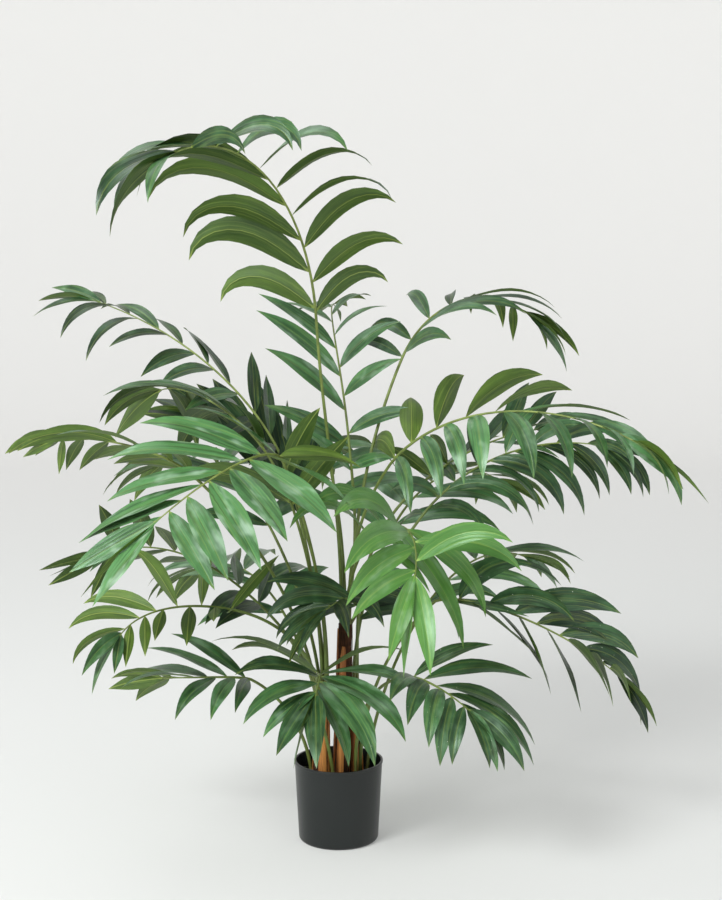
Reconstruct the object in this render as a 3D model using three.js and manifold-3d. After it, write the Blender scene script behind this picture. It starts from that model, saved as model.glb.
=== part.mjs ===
// Artificial potted parlor palm: three fibre trunks in a plain nursery pot, with arching fronds.
// Millimetres, +Z up. The origin is the middle of the pot's flat underside.
// Headings are degrees seen from above: 0 is +X (right), 90 is +Y (back), 270 is the front.
// Tilts are degrees away from straight up.
import * as THREE from "three";
import { mergeVertices } from "three/addons/utils/BufferGeometryUtils.js";
import Module from "manifold-3d";

const wasm = await Module();
wasm.setup();

// Pot and filling
const POT_HEIGHT = 138;
const POT_RIM_RADIUS = 75;
const POT_BASE_RADIUS = 67;
const POT_EDGE_ROUND = 7;
const POT_WALL = 2.6;
const POT_LIP = 0.8;
const POT_LIP_HEIGHT = 3;
const POT_SIDES = 28;
const POT_FLOOR = 3;
const POT_EDGE_STEPS = 4;
const FILLING_TOP = 112;
const GAP = 0.3;

// Trunks: foot on the filling, top where the stalks leave it
const TRUNK_SIDES = 12;
const TRUNK_RINGS = 5;
const TRUNK_FLARE = 1.1;
const TRUNK_BUNCHING = 1.4;
const TRUNKS = {
  left: { foot: [-29, -12], top: [-27, -8], height: 256, radius: [14, 12.5] },
  middle: { foot: [4, -2], top: [12, 2], height: 372, radius: [13, 12.5] },
  right: { foot: [28, 18], top: [24, 24], height: 262, radius: [12.5, 12] },
};

// Stalks: a trunk carries one in the middle of its top and the others on a ring round it
const SEAT_RING = 8.8;
const STALK_RADIUS = [3.1, 2.4];
const STALK_SIDES = 5;
const STALK_RINGS = 5;

// Ribs and leaflets
const RIB_RADIUS = [2.5, 1.2];
const RIB_SIDES = 4;
const RIB_RINGS = 7;
const PATH_STEPS = 24;
const LEAF_THICKNESS = 0.016;
const LEAF_THINNING = 0.6;
const LEAF_WIDEST = 0.44;
const LEAF_SHOULDER = 0.9;
const LEAF_POINT = 1.15;
const LEAF_STATIONS = [0.14, 0.42, 0.74];
const LEAF_ROOT_DEPTH = 1;
const LEAF_STEPS = 3;
const FIRST_LEAFLET = 0.025;
const HANGS_FREE = 8;
const TIP_LEAFLETS = [
  { share: 0.975, sign: -1, spread: 16, lift: 8 },
  { share: 0.96, sign: 1, spread: 14, lift: 25 },
  { share: 0.995, sign: 1, spread: 4, lift: -60 },
];
const TIP_LENGTH = 0.85;
const TIP_SAG = 0.6;

// Where pairs sit: the first and last as shares of a space between two pairs, and the stagger
// between the left and right leaflet of a pair
const FIRST_PAIR = 0.12;
const LAST_SPACE = 0.25;
const STAGGER = 0.18;

// Leaflets are longest a little before the middle of the rib, and shorten towards its tip
const BASE_LENGTH = 0.86;
const MIDDLE_GAIN = 0.28;
const MIDDLE_SHIFT = 0.12;
const SHORT_FROM = 0.8;
const SHORTENING = 0.5;

// How far seeded chance shifts, turns, tips, sizes, sags and twists each leaflet
const SHIFT = 0.1;
const SWING = 7;
const RISE = 10;
const SIZE_CHANGE = 0.1;
const SAG_CHANGE = 0.25;
const TWIST_CHANGE = 16;

// A leaflet that would touch a neighbour is lifted or dropped by the first of these that clears it
const NUDGES = [0, 9, -9, 18, -18, 28, -28];
const LEAF_CLEARANCE = 0.4;
const SEAM = 0.25;

// Fronds. tilt and heading are taken at the stalk's foot, at the neck and at the tip; curl says
// how late the rib bends. roll turns the blade at its neck and tip. A left and a right row of
// leaflets have their own length, and their own spread, lift, sag and twist at the neck and tip.
// breadth is a leaflet's width as a share of its length, hook how late it bends.
const FRONDS = {
  top: {
    on: "middle", seat: 150, stalk: 510, blade: 550, pairs: 9, breadth: 0.2, hook: 2.3,
    tilt: [8, 6, 108], heading: [80, 240, 240], curl: 1, roll: [25, 5],
    left: { leaf: 170, spread: [50, 85], lift: [22, 5], sag: [95, 115], twist: [0, -80] },
    right: { leaf: 225, spread: [50, 15], lift: [15, 10], sag: [135, 140], twist: [0, 0] },
  },
  top_back: {
    on: "middle", seat: 95, stalk: 245, blade: 395, pairs: 7, breadth: 0.19, hook: 1.1,
    tilt: [14, 9, 95], heading: [30, 125, 85], curl: 1.8, roll: [-10, -10],
    left: { leaf: 160, spread: [55, 35], lift: [30, 15], sag: [20, 30], twist: [0, 0] },
    right: { leaf: 120, spread: [70, 35], lift: [50, 25], sag: [45, 50], twist: [0, 0] },
  },
  high_right: {
    on: "middle", seat: 45, stalk: 450, blade: 295, pairs: 7, breadth: 0.18, hook: 1.9,
    tilt: [3, 25, 128], heading: [55, 25, 25], curl: 1.1, roll: [20, -5],
    left: { leaf: 110, spread: [80, 40], lift: [15, -25], sag: [55, 90], twist: [0, 0] },
    right: { leaf: 155, spread: [55, 15], lift: [30, -15], sag: [55, 60], twist: [0, 0] },
  },
  mid_right: {
    on: "middle", seat: 315, stalk: 295, blade: 465, pairs: 9, breadth: 0.22, hook: 1.1,
    tilt: [-3, 36, 115], heading: [305, 335, 330], curl: 0.7, roll: [40, -35],
    left: { leaf: 165, spread: [90, 20], lift: [20, 15], sag: [60, 35], twist: [180, -110] },
    right: { leaf: 130, spread: [70, 20], lift: [0, -5], sag: [110, 100], twist: [0, 0] },
  },
  mid_right_low: {
    on: "middle", seat: 0, stalk: 210, blade: 360, pairs: 8, breadth: 0.2, hook: 1.1,
    tilt: [34, 37, 103], heading: [25, 10, 5], curl: 1, roll: [0, 65],
    left: { leaf: 120, spread: [100, 15], lift: [10, 60], sag: [70, 75], twist: [0, 0] },
    right: { leaf: 145, spread: [30, 15], lift: [-10, -10], sag: [120, 110], twist: [0, 0] },
  },
  mid_right_back: {
    on: "right", seat: 330, stalk: 380, blade: 230, pairs: 6, breadth: 0.19, hook: 2.2,
    tilt: [-2, 50, 88], heading: [105, 0, 35], curl: 1, roll: [-40, 25],
    left: { leaf: 165, spread: [45, 40], lift: [20, 40], sag: [15, 25], twist: [0, 0] },
    right: { leaf: 120, spread: [95, 30], lift: [20, 30], sag: [25, 25], twist: [0, 0] },
  },
  centre_young: {
    on: "middle", seat: 265, stalk: 160, blade: 255, pairs: 6, breadth: 0.2, hook: 1.7, young: true,
    tilt: [13, 35, 140], heading: [280, 320, 260], curl: 0.8, roll: [-70, -5],
    left: { leaf: 190, spread: [55, 110], lift: [-30, 60], sag: [35, 80], twist: [-90, -30] },
    right: { leaf: 185, spread: [60, 50], lift: [-20, 20], sag: [120, 30], twist: [-60, 0] },
  },
  high_left: {
    on: "left", seat: 55, stalk: 370, blade: 470, pairs: 9, breadth: 0.19, hook: 1,
    tilt: [3, 16, 75], heading: [170, 168, 160], curl: 0.7, roll: [-22, -25],
    left: { leaf: 140, spread: [90, 45], lift: [20, 30], sag: [10, 80], twist: [0, 0] },
    right: { leaf: 130, spread: [40, 30], lift: [-5, -10], sag: [5, 50], twist: [0, 0] },
  },
  mid_left_back: {
    on: "left", seat: "middle", stalk: 325, blade: 350, pairs: 6, breadth: 0.2, hook: 1.1,
    tilt: [0, 22, 107], heading: [225, 222, 127], curl: 1.7, roll: [20, 25],
    left: { leaf: 185, spread: [40, 30], lift: [10, -10], sag: [15, 80], twist: [0, 0] },
    right: { leaf: 215, spread: [50, 60], lift: [15, -5], sag: [45, 40], twist: [0, 0] },
  },
  far_left: {
    on: "left", seat: 205, stalk: 435, blade: 260, pairs: 6, breadth: 0.2, hook: 1,
    tilt: [11, 47, 102], heading: [168, 208, 138], curl: 0.8, roll: [15, 50],
    left: { leaf: 145, spread: [40, 15], lift: [5, 30], sag: [50, 60], twist: [0, 0] },
    right: { leaf: 110, spread: [55, 40], lift: [5, -5], sag: [15, 25], twist: [0, 0] },
  },
  front_left: {
    on: "left", seat: 310, stalk: 435, blade: 275, pairs: 7, breadth: 0.23, hook: 2.4,
    tilt: [-3, 34, 130], heading: [226, 237, 200], curl: 0.3, roll: [-10, -30],
    left: { leaf: 190, spread: [85, 70], lift: [15, -20], sag: [25, 5], twist: [0, 0] },
    right: { leaf: 180, spread: [60, 15], lift: [30, -20], sag: [45, 10], twist: [0, 0] },
  },
  low_left: {
    on: "left", seat: 255, stalk: 220, blade: 245, pairs: 6, breadth: 0.18, hook: 1.7,
    tilt: [11, 76, 108], heading: [208, 188, 255], curl: 1.1, roll: [-15, -30],
    left: { leaf: 110, spread: [80, 20], lift: [20, 5], sag: [15, 20], twist: [150, 180] },
    right: { leaf: 145, spread: [115, 55], lift: [50, -35], sag: [10, 70], twist: [140, 75] },
  },
  low_left_back: {
    on: "left", seat: 160, stalk: 165, blade: 310, pairs: 7, breadth: 0.21, hook: 1.2,
    tilt: [20, 50, 108], heading: [165, 158, 210], curl: 1.8, roll: [5, 45],
    left: { leaf: 150, spread: [75, 70], lift: [5, 10], sag: [40, 10], twist: [0, 0] },
    right: { leaf: 125, spread: [70, 50], lift: [30, -30], sag: [5, 5], twist: [0, 0] },
  },
  base_left: {
    on: "filling", foot: [-46, 2], stalk: 220, blade: 160, pairs: 5, breadth: 0.2, hook: 2.2,
    tilt: [5, 60, 100], heading: [190, 222, 142], curl: 0.4, roll: [-35, 45],
    left: { leaf: 125, spread: [45, 55], lift: [5, 5], sag: [40, 55], twist: [0, 0] },
    right: { leaf: 155, spread: [60, 30], lift: [5, 10], sag: [25, 20], twist: [0, 0] },
  },
  base_front: {
    on: "filling", foot: [-8, -24], stalk: 210, blade: 105, pairs: 5, breadth: 0.25, hook: 2.2,
    tilt: [6, 38, 118], heading: [196, 283, 255], curl: 0.5, roll: [-10, 10],
    left: { leaf: 175, spread: [50, 30], lift: [30, -40], sag: [75, 75], twist: [0, 0] },
    right: { leaf: 165, spread: [95, 25], lift: [40, 15], sag: [65, 40], twist: [0, 0] },
  },
  base_right_front: {
    on: "filling", foot: [30, -18], stalk: 280, blade: 135, pairs: 5, breadth: 0.24, hook: 1.2,
    tilt: [-8, 80, 112], heading: [296, 312, 310], curl: 0.5, roll: [0, 20],
    left: { leaf: 160, spread: [55, 15], lift: [35, -45], sag: [45, 90], twist: [0, 0] },
    right: { leaf: 130, spread: [65, 55], lift: [35, -5], sag: [40, 95], twist: [0, 0] },
  },
  base_right: {
    on: "filling", foot: [36, -6], stalk: 355, blade: 340, pairs: 8, breadth: 0.21, hook: 1.1,
    tilt: [0, 48, 130], heading: [329, 333, 385], curl: 0.3, roll: [65, 15],
    left: { leaf: 155, spread: [65, 25], lift: [40, 40], sag: [70, 85], twist: [0, 0] },
    right: { leaf: 150, spread: [15, 115], lift: [30, 30], sag: [5, 55], twist: [-55, -35] },
  },
  back_high: {
    on: "left", seat: 5, stalk: 300, blade: 250, pairs: 4, breadth: 0.29, hook: 1.8,
    tilt: [0, 25, 80], heading: [110, 150, 160], curl: 1.2, roll: [0, 0],
    left: { leaf: 150, spread: [35, 25], lift: [50, 40], sag: [10, 20], twist: [100, 100] },
    right: { leaf: 150, spread: [35, 25], lift: [40, 40], sag: [10, 20], twist: [0, 0] },
  },
  back: {
    on: "middle", seat: "middle", stalk: 210, blade: 380, pairs: 5, breadth: 0.19, hook: 1.8,
    tilt: [10, 50, 115], heading: [95, 100, 92], curl: 1, roll: [0, 0],
    left: { leaf: 175, spread: [65, 35], lift: [10, 10], sag: [55, 55], twist: [0, 0] },
    right: { leaf: 175, spread: [65, 35], lift: [10, 10], sag: [55, 55], twist: [0, 0] },
  },
  back_right: {
    on: "right", seat: 90, stalk: 265, blade: 380, pairs: 5, breadth: 0.19, hook: 1.8,
    tilt: [6, 45, 118], heading: [60, 55, 50], curl: 1, roll: [0, 0],
    left: { leaf: 175, spread: [65, 35], lift: [10, 10], sag: [55, 55], twist: [0, 0] },
    right: { leaf: 175, spread: [65, 35], lift: [10, 10], sag: [55, 55], twist: [0, 0] },
  },
  back_left: {
    on: "left", seat: 105, stalk: 290, blade: 360, pairs: 5, breadth: 0.19, hook: 1.8,
    tilt: [8, 42, 112], heading: [140, 132, 128], curl: 1, roll: [0, 0],
    left: { leaf: 170, spread: [62, 38], lift: [10, 10], sag: [55, 55], twist: [0, 0] },
    right: { leaf: 170, spread: [62, 38], lift: [10, 10], sag: [55, 55], twist: [0, 0] },
  },
  base_back_right: {
    on: "filling", foot: [48, 24], stalk: 300, blade: 300, pairs: 6, breadth: 0.2, hook: 1.8,
    tilt: [8, 48, 112], heading: [40, 45, 50], curl: 1, roll: [0, 0],
    left: { leaf: 165, spread: [65, 35], lift: [10, 10], sag: [50, 50], twist: [0, 0] },
    right: { leaf: 165, spread: [65, 35], lift: [10, 10], sag: [55, 55], twist: [0, 0] },
  },
  base_back_left: {
    on: "filling", foot: [-18, 32], stalk: 280, blade: 300, pairs: 5, breadth: 0.2, hook: 1.8,
    tilt: [8, 50, 115], heading: [125, 125, 128], curl: 1, roll: [0, 0],
    left: { leaf: 165, spread: [65, 35], lift: [10, 10], sag: [55, 55], twist: [0, 0] },
    right: { leaf: 165, spread: [65, 35], lift: [10, 10], sag: [50, 50], twist: [0, 0] },
  },
  centre_low: {
    on: "right", seat: 280, stalk: 115, blade: 150, pairs: 5, breadth: 0.22, hook: 1.6,
    tilt: [4, 16, 118], heading: [320, 275, 220], curl: 0.9, roll: [0, 0],
    left: { leaf: 130, spread: [70, 45], lift: [15, 10], sag: [60, 60], twist: [-110, -20] },
    right: { leaf: 130, spread: [70, 45], lift: [15, 10], sag: [60, 60], twist: [-110, -20] },
  },
};

const DOWN = new THREE.Vector3(0, 0, -1);
const radians = THREE.MathUtils.degToRad;
const mix = THREE.MathUtils.lerp;

// Seeded numbers from -1 to 1
class Draws {
  constructor(seed) {
    this.state = (Math.imul(seed, 2654435761) + 12345) >>> 0;
    for (let i = 0; i < 3; i++) this.next();
  }

  next() {
    this.state = (Math.imul(this.state, 1664525) + 1013904223) >>> 0;
    return this.state / 2 ** 31 - 1;
  }
}

// Turns rings of points into one closed solid. A ring of one point is a tip.
function loft(rings) {
  const points = rings.flat();
  const faces = [];
  const starts = [];
  let count = 0;
  for (const ring of rings) {
    starts.push(count);
    count += ring.length;
  }
  for (let i = 0; i + 1 < rings.length; i++) {
    const [a, b] = [starts[i], starts[i + 1]];
    const [m, n] = [rings[i].length, rings[i + 1].length];
    for (let j = 0; j < Math.max(m, n); j++) {
      const k = (j + 1) % Math.max(m, n);
      if (n === 1) faces.push([a + j, a + k, b]);
      else if (m === 1) faces.push([a, b + k, b + j]);
      else faces.push([a + j, a + k, b + k], [a + j, b + k, b + j]);
    }
  }
  const cap = (start, size, flip) => {
    for (let j = 1; j + 1 < size; j++) {
      faces.push(flip ? [start, start + j + 1, start + j] : [start, start + j, start + j + 1]);
    }
  };
  cap(starts[0], rings[0].length, true);
  cap(starts.at(-1), rings.at(-1).length, false);
  return solidFrom(points, faces);
}

// A manifold solid with its faces pointing out
function solidFrom(points, faces) {
  let volume = 0;
  for (const [a, b, c] of faces) {
    volume += points[a].dot(new THREE.Vector3().crossVectors(points[b], points[c]));
  }
  const order = volume < 0 ? faces.map(([a, b, c]) => [a, c, b]) : faces;
  const vertProperties = new Float32Array(points.flatMap((p) => p.toArray()));
  const triVerts = new Uint32Array(order.flat());
  return new wasm.Manifold(new wasm.Mesh({ numProp: 3, vertProperties, triVerts }));
}

function solidOf(geometry) {
  const bare = new THREE.BufferGeometry();
  bare.setAttribute("position", geometry.getAttribute("position"));
  if (geometry.index) bare.setIndex(geometry.index);
  const merged = mergeVertices(bare);
  return new wasm.Manifold(
    new wasm.Mesh({
      numProp: 3,
      vertProperties: new Float32Array(merged.getAttribute("position").array),
      triVerts: new Uint32Array(merged.index.array),
    }),
  );
}

// Unit direction at a tilt and heading in degrees
function direction(tilt, heading) {
  const [t, h] = [radians(tilt), radians(heading)];
  return new THREE.Vector3(Math.sin(t) * Math.cos(h), Math.sin(t) * Math.sin(h), Math.cos(t));
}

// Point on a trunk's axis at a share of its height, and its radius there
function trunkAt(trunk, share) {
  const [foot, top] = [trunk.foot, trunk.top];
  const flare = 1 + (TRUNK_FLARE - 1) * (1 - share) ** 4;
  return {
    point: new THREE.Vector3(
      mix(foot[0], top[0], share),
      mix(foot[1], top[1], share),
      mix(FILLING_TOP + GAP, trunk.height, share),
    ),
    radius: mix(trunk.radius[0], trunk.radius[1], share) * flare,
  };
}

// Where a frond's stalk starts: on its trunk's top, or on the filling
function stalkFoot(frond) {
  if (frond.on === "filling") return new THREE.Vector3(frond.foot[0], frond.foot[1], FILLING_TOP + GAP);
  const trunk = TRUNKS[frond.on];
  const ring = frond.seat === "middle" ? 0 : SEAT_RING;
  const angle = radians(frond.seat === "middle" ? 0 : frond.seat);
  return new THREE.Vector3(
    trunk.top[0] + ring * Math.cos(angle),
    trunk.top[1] + ring * Math.sin(angle),
    trunk.height + GAP,
  );
}

// Stations along a path: point, tangent, the blade's upper normal and its right-hand side
function walk(start, length, pose) {
  const stations = [];
  const point = start.clone();
  for (let i = 0; i <= PATH_STEPS; i++) {
    const here = pose(i / PATH_STEPS);
    const tangent = direction(here.tilt, here.heading);
    const up = direction(here.tilt - 90, here.heading);
    const side = new THREE.Vector3().crossVectors(tangent, up);
    up.applyAxisAngle(tangent, radians(here.roll));
    side.applyAxisAngle(tangent, radians(here.roll));
    stations.push({ point: point.clone(), tangent, up, side });
    const middle = pose((i + 0.5) / PATH_STEPS);
    point.addScaledVector(direction(middle.tilt, middle.heading), length / PATH_STEPS);
  }
  return stations;
}

function stalkPath(frond) {
  return walk(stalkFoot(frond), frond.stalk, (t) => ({
    tilt: mix(frond.tilt[0], frond.tilt[1], t),
    heading: mix(frond.heading[0], frond.heading[1], t),
    roll: 0,
  }));
}

// The rib's own stations are few, and its leaflets start on the straight runs between them
function ribPath(frond) {
  const neck = stalkPath(frond).at(-1);
  const start = neck.point.clone().addScaledVector(neck.tangent, GAP);
  const path = walk(start, frond.blade, (t) => ({
    tilt: mix(frond.tilt[1], frond.tilt[2], t ** frond.curl),
    heading: mix(frond.heading[1], frond.heading[2], t),
    roll: mix(frond.roll[0], frond.roll[1], t),
  }));
  return evenly(path, RIB_RINGS);
}

function evenly(path, count) {
  return Array.from({ length: count }, (_, i) => stationAt(path, i / (count - 1)));
}

// The station at a share of a path, between its two neighbours
function stationAt(path, share) {
  const x = THREE.MathUtils.clamp(share, 0, 1) * (path.length - 1);
  const i = Math.min(Math.floor(x), path.length - 2);
  const blend = (key) => path[i][key].clone().lerp(path[i + 1][key], x - i);
  return {
    point: blend("point"),
    tangent: blend("tangent").normalize(),
    up: blend("up").normalize(),
    side: blend("side").normalize(),
  };
}

// A tapering round limb through stations; a level foot lies flat on what carries it
function limb(stations, radii, sides, levelFoot) {
  const rings = stations.map(({ point, up, side }, i) => {
    const radius = mix(radii[0], radii[1], i / (stations.length - 1));
    const level = levelFoot && i === 0;
    const front = level ? up.clone().setZ(0).normalize() : up;
    return Array.from({ length: sides }, (_, j) => {
      const a = (2 * Math.PI * j) / sides;
      const out = side.clone().multiplyScalar(Math.cos(a)).addScaledVector(front, Math.sin(a));
      return point.clone().addScaledVector(out, radius);
    });
  });
  return loft(rings);
}

// Half width of a leaflet as a share of its widest, at a share of its length
function leafShape(u) {
  return (u / LEAF_WIDEST) ** LEAF_SHOULDER * ((1 - u) / (1 - LEAF_WIDEST)) ** LEAF_POINT;
}

// One leaflet: it leaves its base along d with normal n, and sags towards the ground
function leafletSolid(base, d, n, { length, breadth, sag, hook }) {
  const axis = new THREE.Vector3().crossVectors(d, DOWN).normalize();
  const room = d.angleTo(DOWN) - radians(HANGS_FREE);
  const bend = THREE.MathUtils.clamp(radians(sag), 0, Math.max(room, 0));
  const turned = (v, u) => v.clone().applyAxisAngle(axis, bend * u ** hook);
  const point = base.clone();
  const ringAt = (u, width) => {
    const normal = turned(n, u);
    const across = new THREE.Vector3().crossVectors(turned(d, u), normal).normalize();
    const thickness = length * LEAF_THICKNESS * mix(1, LEAF_THINNING, u);
    const face = point.clone().addScaledVector(normal, thickness / 2);
    return [
      face.clone().addScaledVector(across, width / 2),
      face.clone().addScaledVector(across, -width / 2),
      point.clone().addScaledVector(normal, -thickness / 2),
    ];
  };
  const rings = [[point.clone().addScaledVector(d, -LEAF_ROOT_DEPTH)]];
  let walked = 0;
  for (const u of [...LEAF_STATIONS, 1]) {
    const step = (u - walked) / LEAF_STEPS;
    for (let i = 0; i < LEAF_STEPS; i++) {
      point.addScaledVector(turned(d, walked + step * (i + 0.5)), step * length);
    }
    walked = u;
    rings.push(u < 1 ? ringAt(u, leafShape(u) * length * breadth) : [point.clone()]);
  }
  return loft(rings);
}

// Where a leaflet points and faces: spread turns it off the rib, lift raises it above the blade's
// plane and twist rolls its face
function leafletPose({ tangent, up, side, sign, spread, lift, twist }) {
  const outward = side.clone().multiplyScalar(sign * Math.cos(lift)).addScaledVector(up, Math.sin(lift));
  const d = tangent.clone().multiplyScalar(Math.cos(spread));
  d.addScaledVector(outward, Math.sin(spread)).normalize();
  const n = up.clone().multiplyScalar(Math.cos(lift)).addScaledVector(side, -sign * Math.sin(lift));
  n.addScaledVector(d, -n.dot(d)).normalize();
  n.applyAxisAngle(d, sign * twist);
  return { d, n };
}

// Every leaflet of a frond: pairs along the rib, then the ones at its tip
function leafletPlans(frond, seed, path) {
  const draws = new Draws(seed);
  const plans = [];
  for (let k = 0; k < frond.pairs; k++) {
    for (const sign of [-1, 1]) {
      const [shift, swing, rise, size, drop, turn] = Array.from({ length: 6 }, () => draws.next());
      const even = (k + FIRST_PAIR) / (frond.pairs - LAST_SPACE);
      const share = even + (sign * STAGGER + SHIFT * shift) / frond.pairs;
      if (share > 1) continue;
      const row = sign < 0 ? frond.left : frond.right;
      const fullness = BASE_LENGTH + MIDDLE_GAIN * Math.sin(Math.PI * Math.min(share + MIDDLE_SHIFT, 1));
      const shorter = 1 - SHORTENING * Math.max(share - SHORT_FROM, 0);
      plans.push({
        ...stationAt(path, Math.max(share, FIRST_LEAFLET)),
        sign,
        spread: radians(mix(row.spread[0], row.spread[1], share) + SWING * swing),
        lift: mix(row.lift[0], row.lift[1], share) + RISE * rise,
        twist: radians(mix(row.twist[0], row.twist[1], share) + TWIST_CHANGE * turn),
        breadth: frond.breadth,
        length: row.leaf * fullness * shorter * (1 + SIZE_CHANGE * size),
        sag: mix(row.sag[0], row.sag[1], share) * (1 + SAG_CHANGE * drop),
        hook: frond.hook,
      });
    }
  }
  for (const { share, sign, spread, lift } of TIP_LEAFLETS) {
    const row = sign < 0 ? frond.left : frond.right;
    plans.push({
      ...stationAt(path, share),
      sign,
      spread: radians(spread),
      lift,
      twist: 0,
      breadth: frond.breadth,
      length: row.leaf * TIP_LENGTH,
      sag: row.sag[1] * TIP_SAG,
      hook: frond.hook,
    });
  }
  return plans;
}

function boxesMeet(a, b) {
  const near = (low, high) => low <= high + LEAF_CLEARANCE;
  return [0, 1, 2].every((i) => near(a.min[i], b.max[i]) && near(b.min[i], a.max[i]));
}

// Solids already in place, which a new leaflet keeps clear of
const placed = [];

function place(solid) {
  placed.push({ solid, box: solid.boundingBox() });
}

function isClear(solid) {
  const box = solid.boundingBox();
  const clears = (other) => solid.minGap(other.solid, 1) >= LEAF_CLEARANCE;
  return placed.every((other) => !boxesMeet(box, other.box) || clears(other));
}

// The first nudge of a leaflet that touches nothing, or no leaflet at all
function clearLeaflet(plan) {
  for (const nudge of NUDGES) {
    const { d, n } = leafletPose({ ...plan, lift: radians(plan.lift + nudge) });
    const solid = leafletSolid(plan.point, d, n, plan);
    if (isClear(solid)) return [solid];
  }
  return [];
}

function meshOf(solid, name, material) {
  const { vertProperties, triVerts } = solid.getMesh();
  const geometry = new THREE.BufferGeometry();
  geometry.setAttribute("position", new THREE.BufferAttribute(vertProperties, 3));
  geometry.setIndex(new THREE.BufferAttribute(triVerts, 1));
  geometry.computeVertexNormals();
  const mesh = new THREE.Mesh(geometry, material);
  mesh.name = name;
  return mesh;
}

function largest(solid) {
  return solid.decompose().reduce((a, b) => (b.volume() > a.volume() ? b : a));
}

// Outer radius of the pot at a height, on its straight wall
function potRadius(z) {
  return mix(POT_BASE_RADIUS, POT_RIM_RADIUS - POT_LIP, z / POT_HEIGHT);
}

function potSolid() {
  const inner = (z) => potRadius(z) - POT_WALL;
  const profile = [[0, 0], [POT_BASE_RADIUS - POT_EDGE_ROUND, 0]];
  for (let i = 1; i <= POT_EDGE_STEPS; i++) {
    const a = (Math.PI / 2) * (i / POT_EDGE_STEPS);
    const out = potRadius(POT_EDGE_ROUND) - POT_EDGE_ROUND * (1 - Math.sin(a));
    profile.push([out, POT_EDGE_ROUND * (1 - Math.cos(a))]);
  }
  const lipFoot = POT_HEIGHT - POT_LIP_HEIGHT;
  profile.push([potRadius(lipFoot - POT_LIP), lipFoot - POT_LIP]);
  profile.push([POT_RIM_RADIUS, lipFoot], [POT_RIM_RADIUS, POT_HEIGHT - POT_LIP / 2]);
  profile.push([POT_RIM_RADIUS - POT_LIP / 2, POT_HEIGHT], [inner(POT_HEIGHT), POT_HEIGHT]);
  profile.push([inner(POT_FLOOR + POT_EDGE_ROUND), POT_FLOOR + POT_EDGE_ROUND]);
  profile.push([inner(POT_FLOOR) - POT_EDGE_ROUND, POT_FLOOR], [0, POT_FLOOR]);
  return lathed(profile);
}

// The weight in the pot: it follows the wall and floor, and is level on top
function fillingSolid() {
  const edge = (z) => potRadius(z) - POT_WALL - GAP;
  const foot = POT_FLOOR + GAP;
  return lathed([
    [0, foot],
    [edge(foot) - POT_EDGE_ROUND - GAP, foot],
    [edge(foot + POT_EDGE_ROUND), foot + POT_EDGE_ROUND],
    [edge(FILLING_TOP), FILLING_TOP],
    [0, FILLING_TOP],
  ]);
}

function lathed(profile) {
  const points = profile.map(([r, z]) => new THREE.Vector2(r, z));
  const geometry = new THREE.LatheGeometry(points, POT_SIDES);
  geometry.rotateX(Math.PI / 2);
  return solidOf(geometry);
}

// A tapering trunk with level cuts at its foot and top
function trunkSolid(trunk) {
  const rings = [];
  for (let i = 0; i < TRUNK_RINGS; i++) {
    const { point, radius } = trunkAt(trunk, (i / (TRUNK_RINGS - 1)) ** TRUNK_BUNCHING);
    const ring = [];
    for (let j = 0; j < TRUNK_SIDES; j++) {
      const a = (2 * Math.PI * j) / TRUNK_SIDES;
      ring.push(point.clone().add(new THREE.Vector3(radius * Math.cos(a), radius * Math.sin(a), 0)));
    }
    rings.push(ring);
  }
  return loft(rings);
}

const matte = (color, roughness) => new THREE.MeshStandardMaterial({ color, roughness, metalness: 0 });
const materials = {
  pot: matte(0x2f3534, 0.55),
  filling: matte(0x1c1c1b, 0.95),
  trunk: matte(0x6b4526, 0.9),
  stalk: matte(0x6d8a45, 0.5),
  frond: matte(0x3b6b3a, 0.45),
  youngFrond: matte(0x6b9a47, 0.45),
};

const palm = new THREE.Group();
function add(solid, name, material) {
  palm.add(meshOf(solid, name, material));
  place(solid);
}

add(potSolid(), "pot", materials.pot);
add(fillingSolid(), "filling", materials.filling);
for (const [name, trunk] of Object.entries(TRUNKS)) {
  add(trunkSolid(trunk), `trunk_${name}`, materials.trunk);
}

for (const [name, frond] of Object.entries(FRONDS)) {
  const stations = evenly(stalkPath(frond), STALK_RINGS);
  add(limb(stations, STALK_RADIUS, STALK_SIDES, true), `stalk_${name}`, materials.stalk);
}

// Every rib is in place before the first leaflet, so that leaflets give way to ribs
const ribs = Object.values(FRONDS).map((frond) => limb(ribPath(frond), RIB_RADIUS, RIB_SIDES, false));
Object.entries(FRONDS).forEach(([name, frond], index) => {
  const others = ribs.filter((rib, i) => i > index);
  const settled = placed.length;
  others.forEach(place);
  const leaflets = leafletPlans(frond, index + 1, ribPath(frond)).flatMap(clearLeaflet);
  placed.length = settled;
  const blade = wasm.Manifold.union([ribs[index], ...leaflets]).simplify(SEAM);
  add(largest(blade), `frond_${name}`, frond.young ? materials.youngFrond : materials.frond);
});

export default palm;
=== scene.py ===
# Artificial potted parlor palm: the finished leaflets, stalks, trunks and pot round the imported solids.
# Metres, +Z up. The origin is the middle of the pot's flat underside. Sizes named here are millimetres,
# as in the part's source, and MM turns them into metres.
# Headings are degrees seen from above: 0 is +X (right), 90 is +Y (back), 270 is the front.
# Tilts are degrees away from straight up.
import math
import random
from collections import namedtuple

import bpy
import numpy as np
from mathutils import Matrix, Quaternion, Vector, noise
from mathutils.bvhtree import BVHTree


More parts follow.
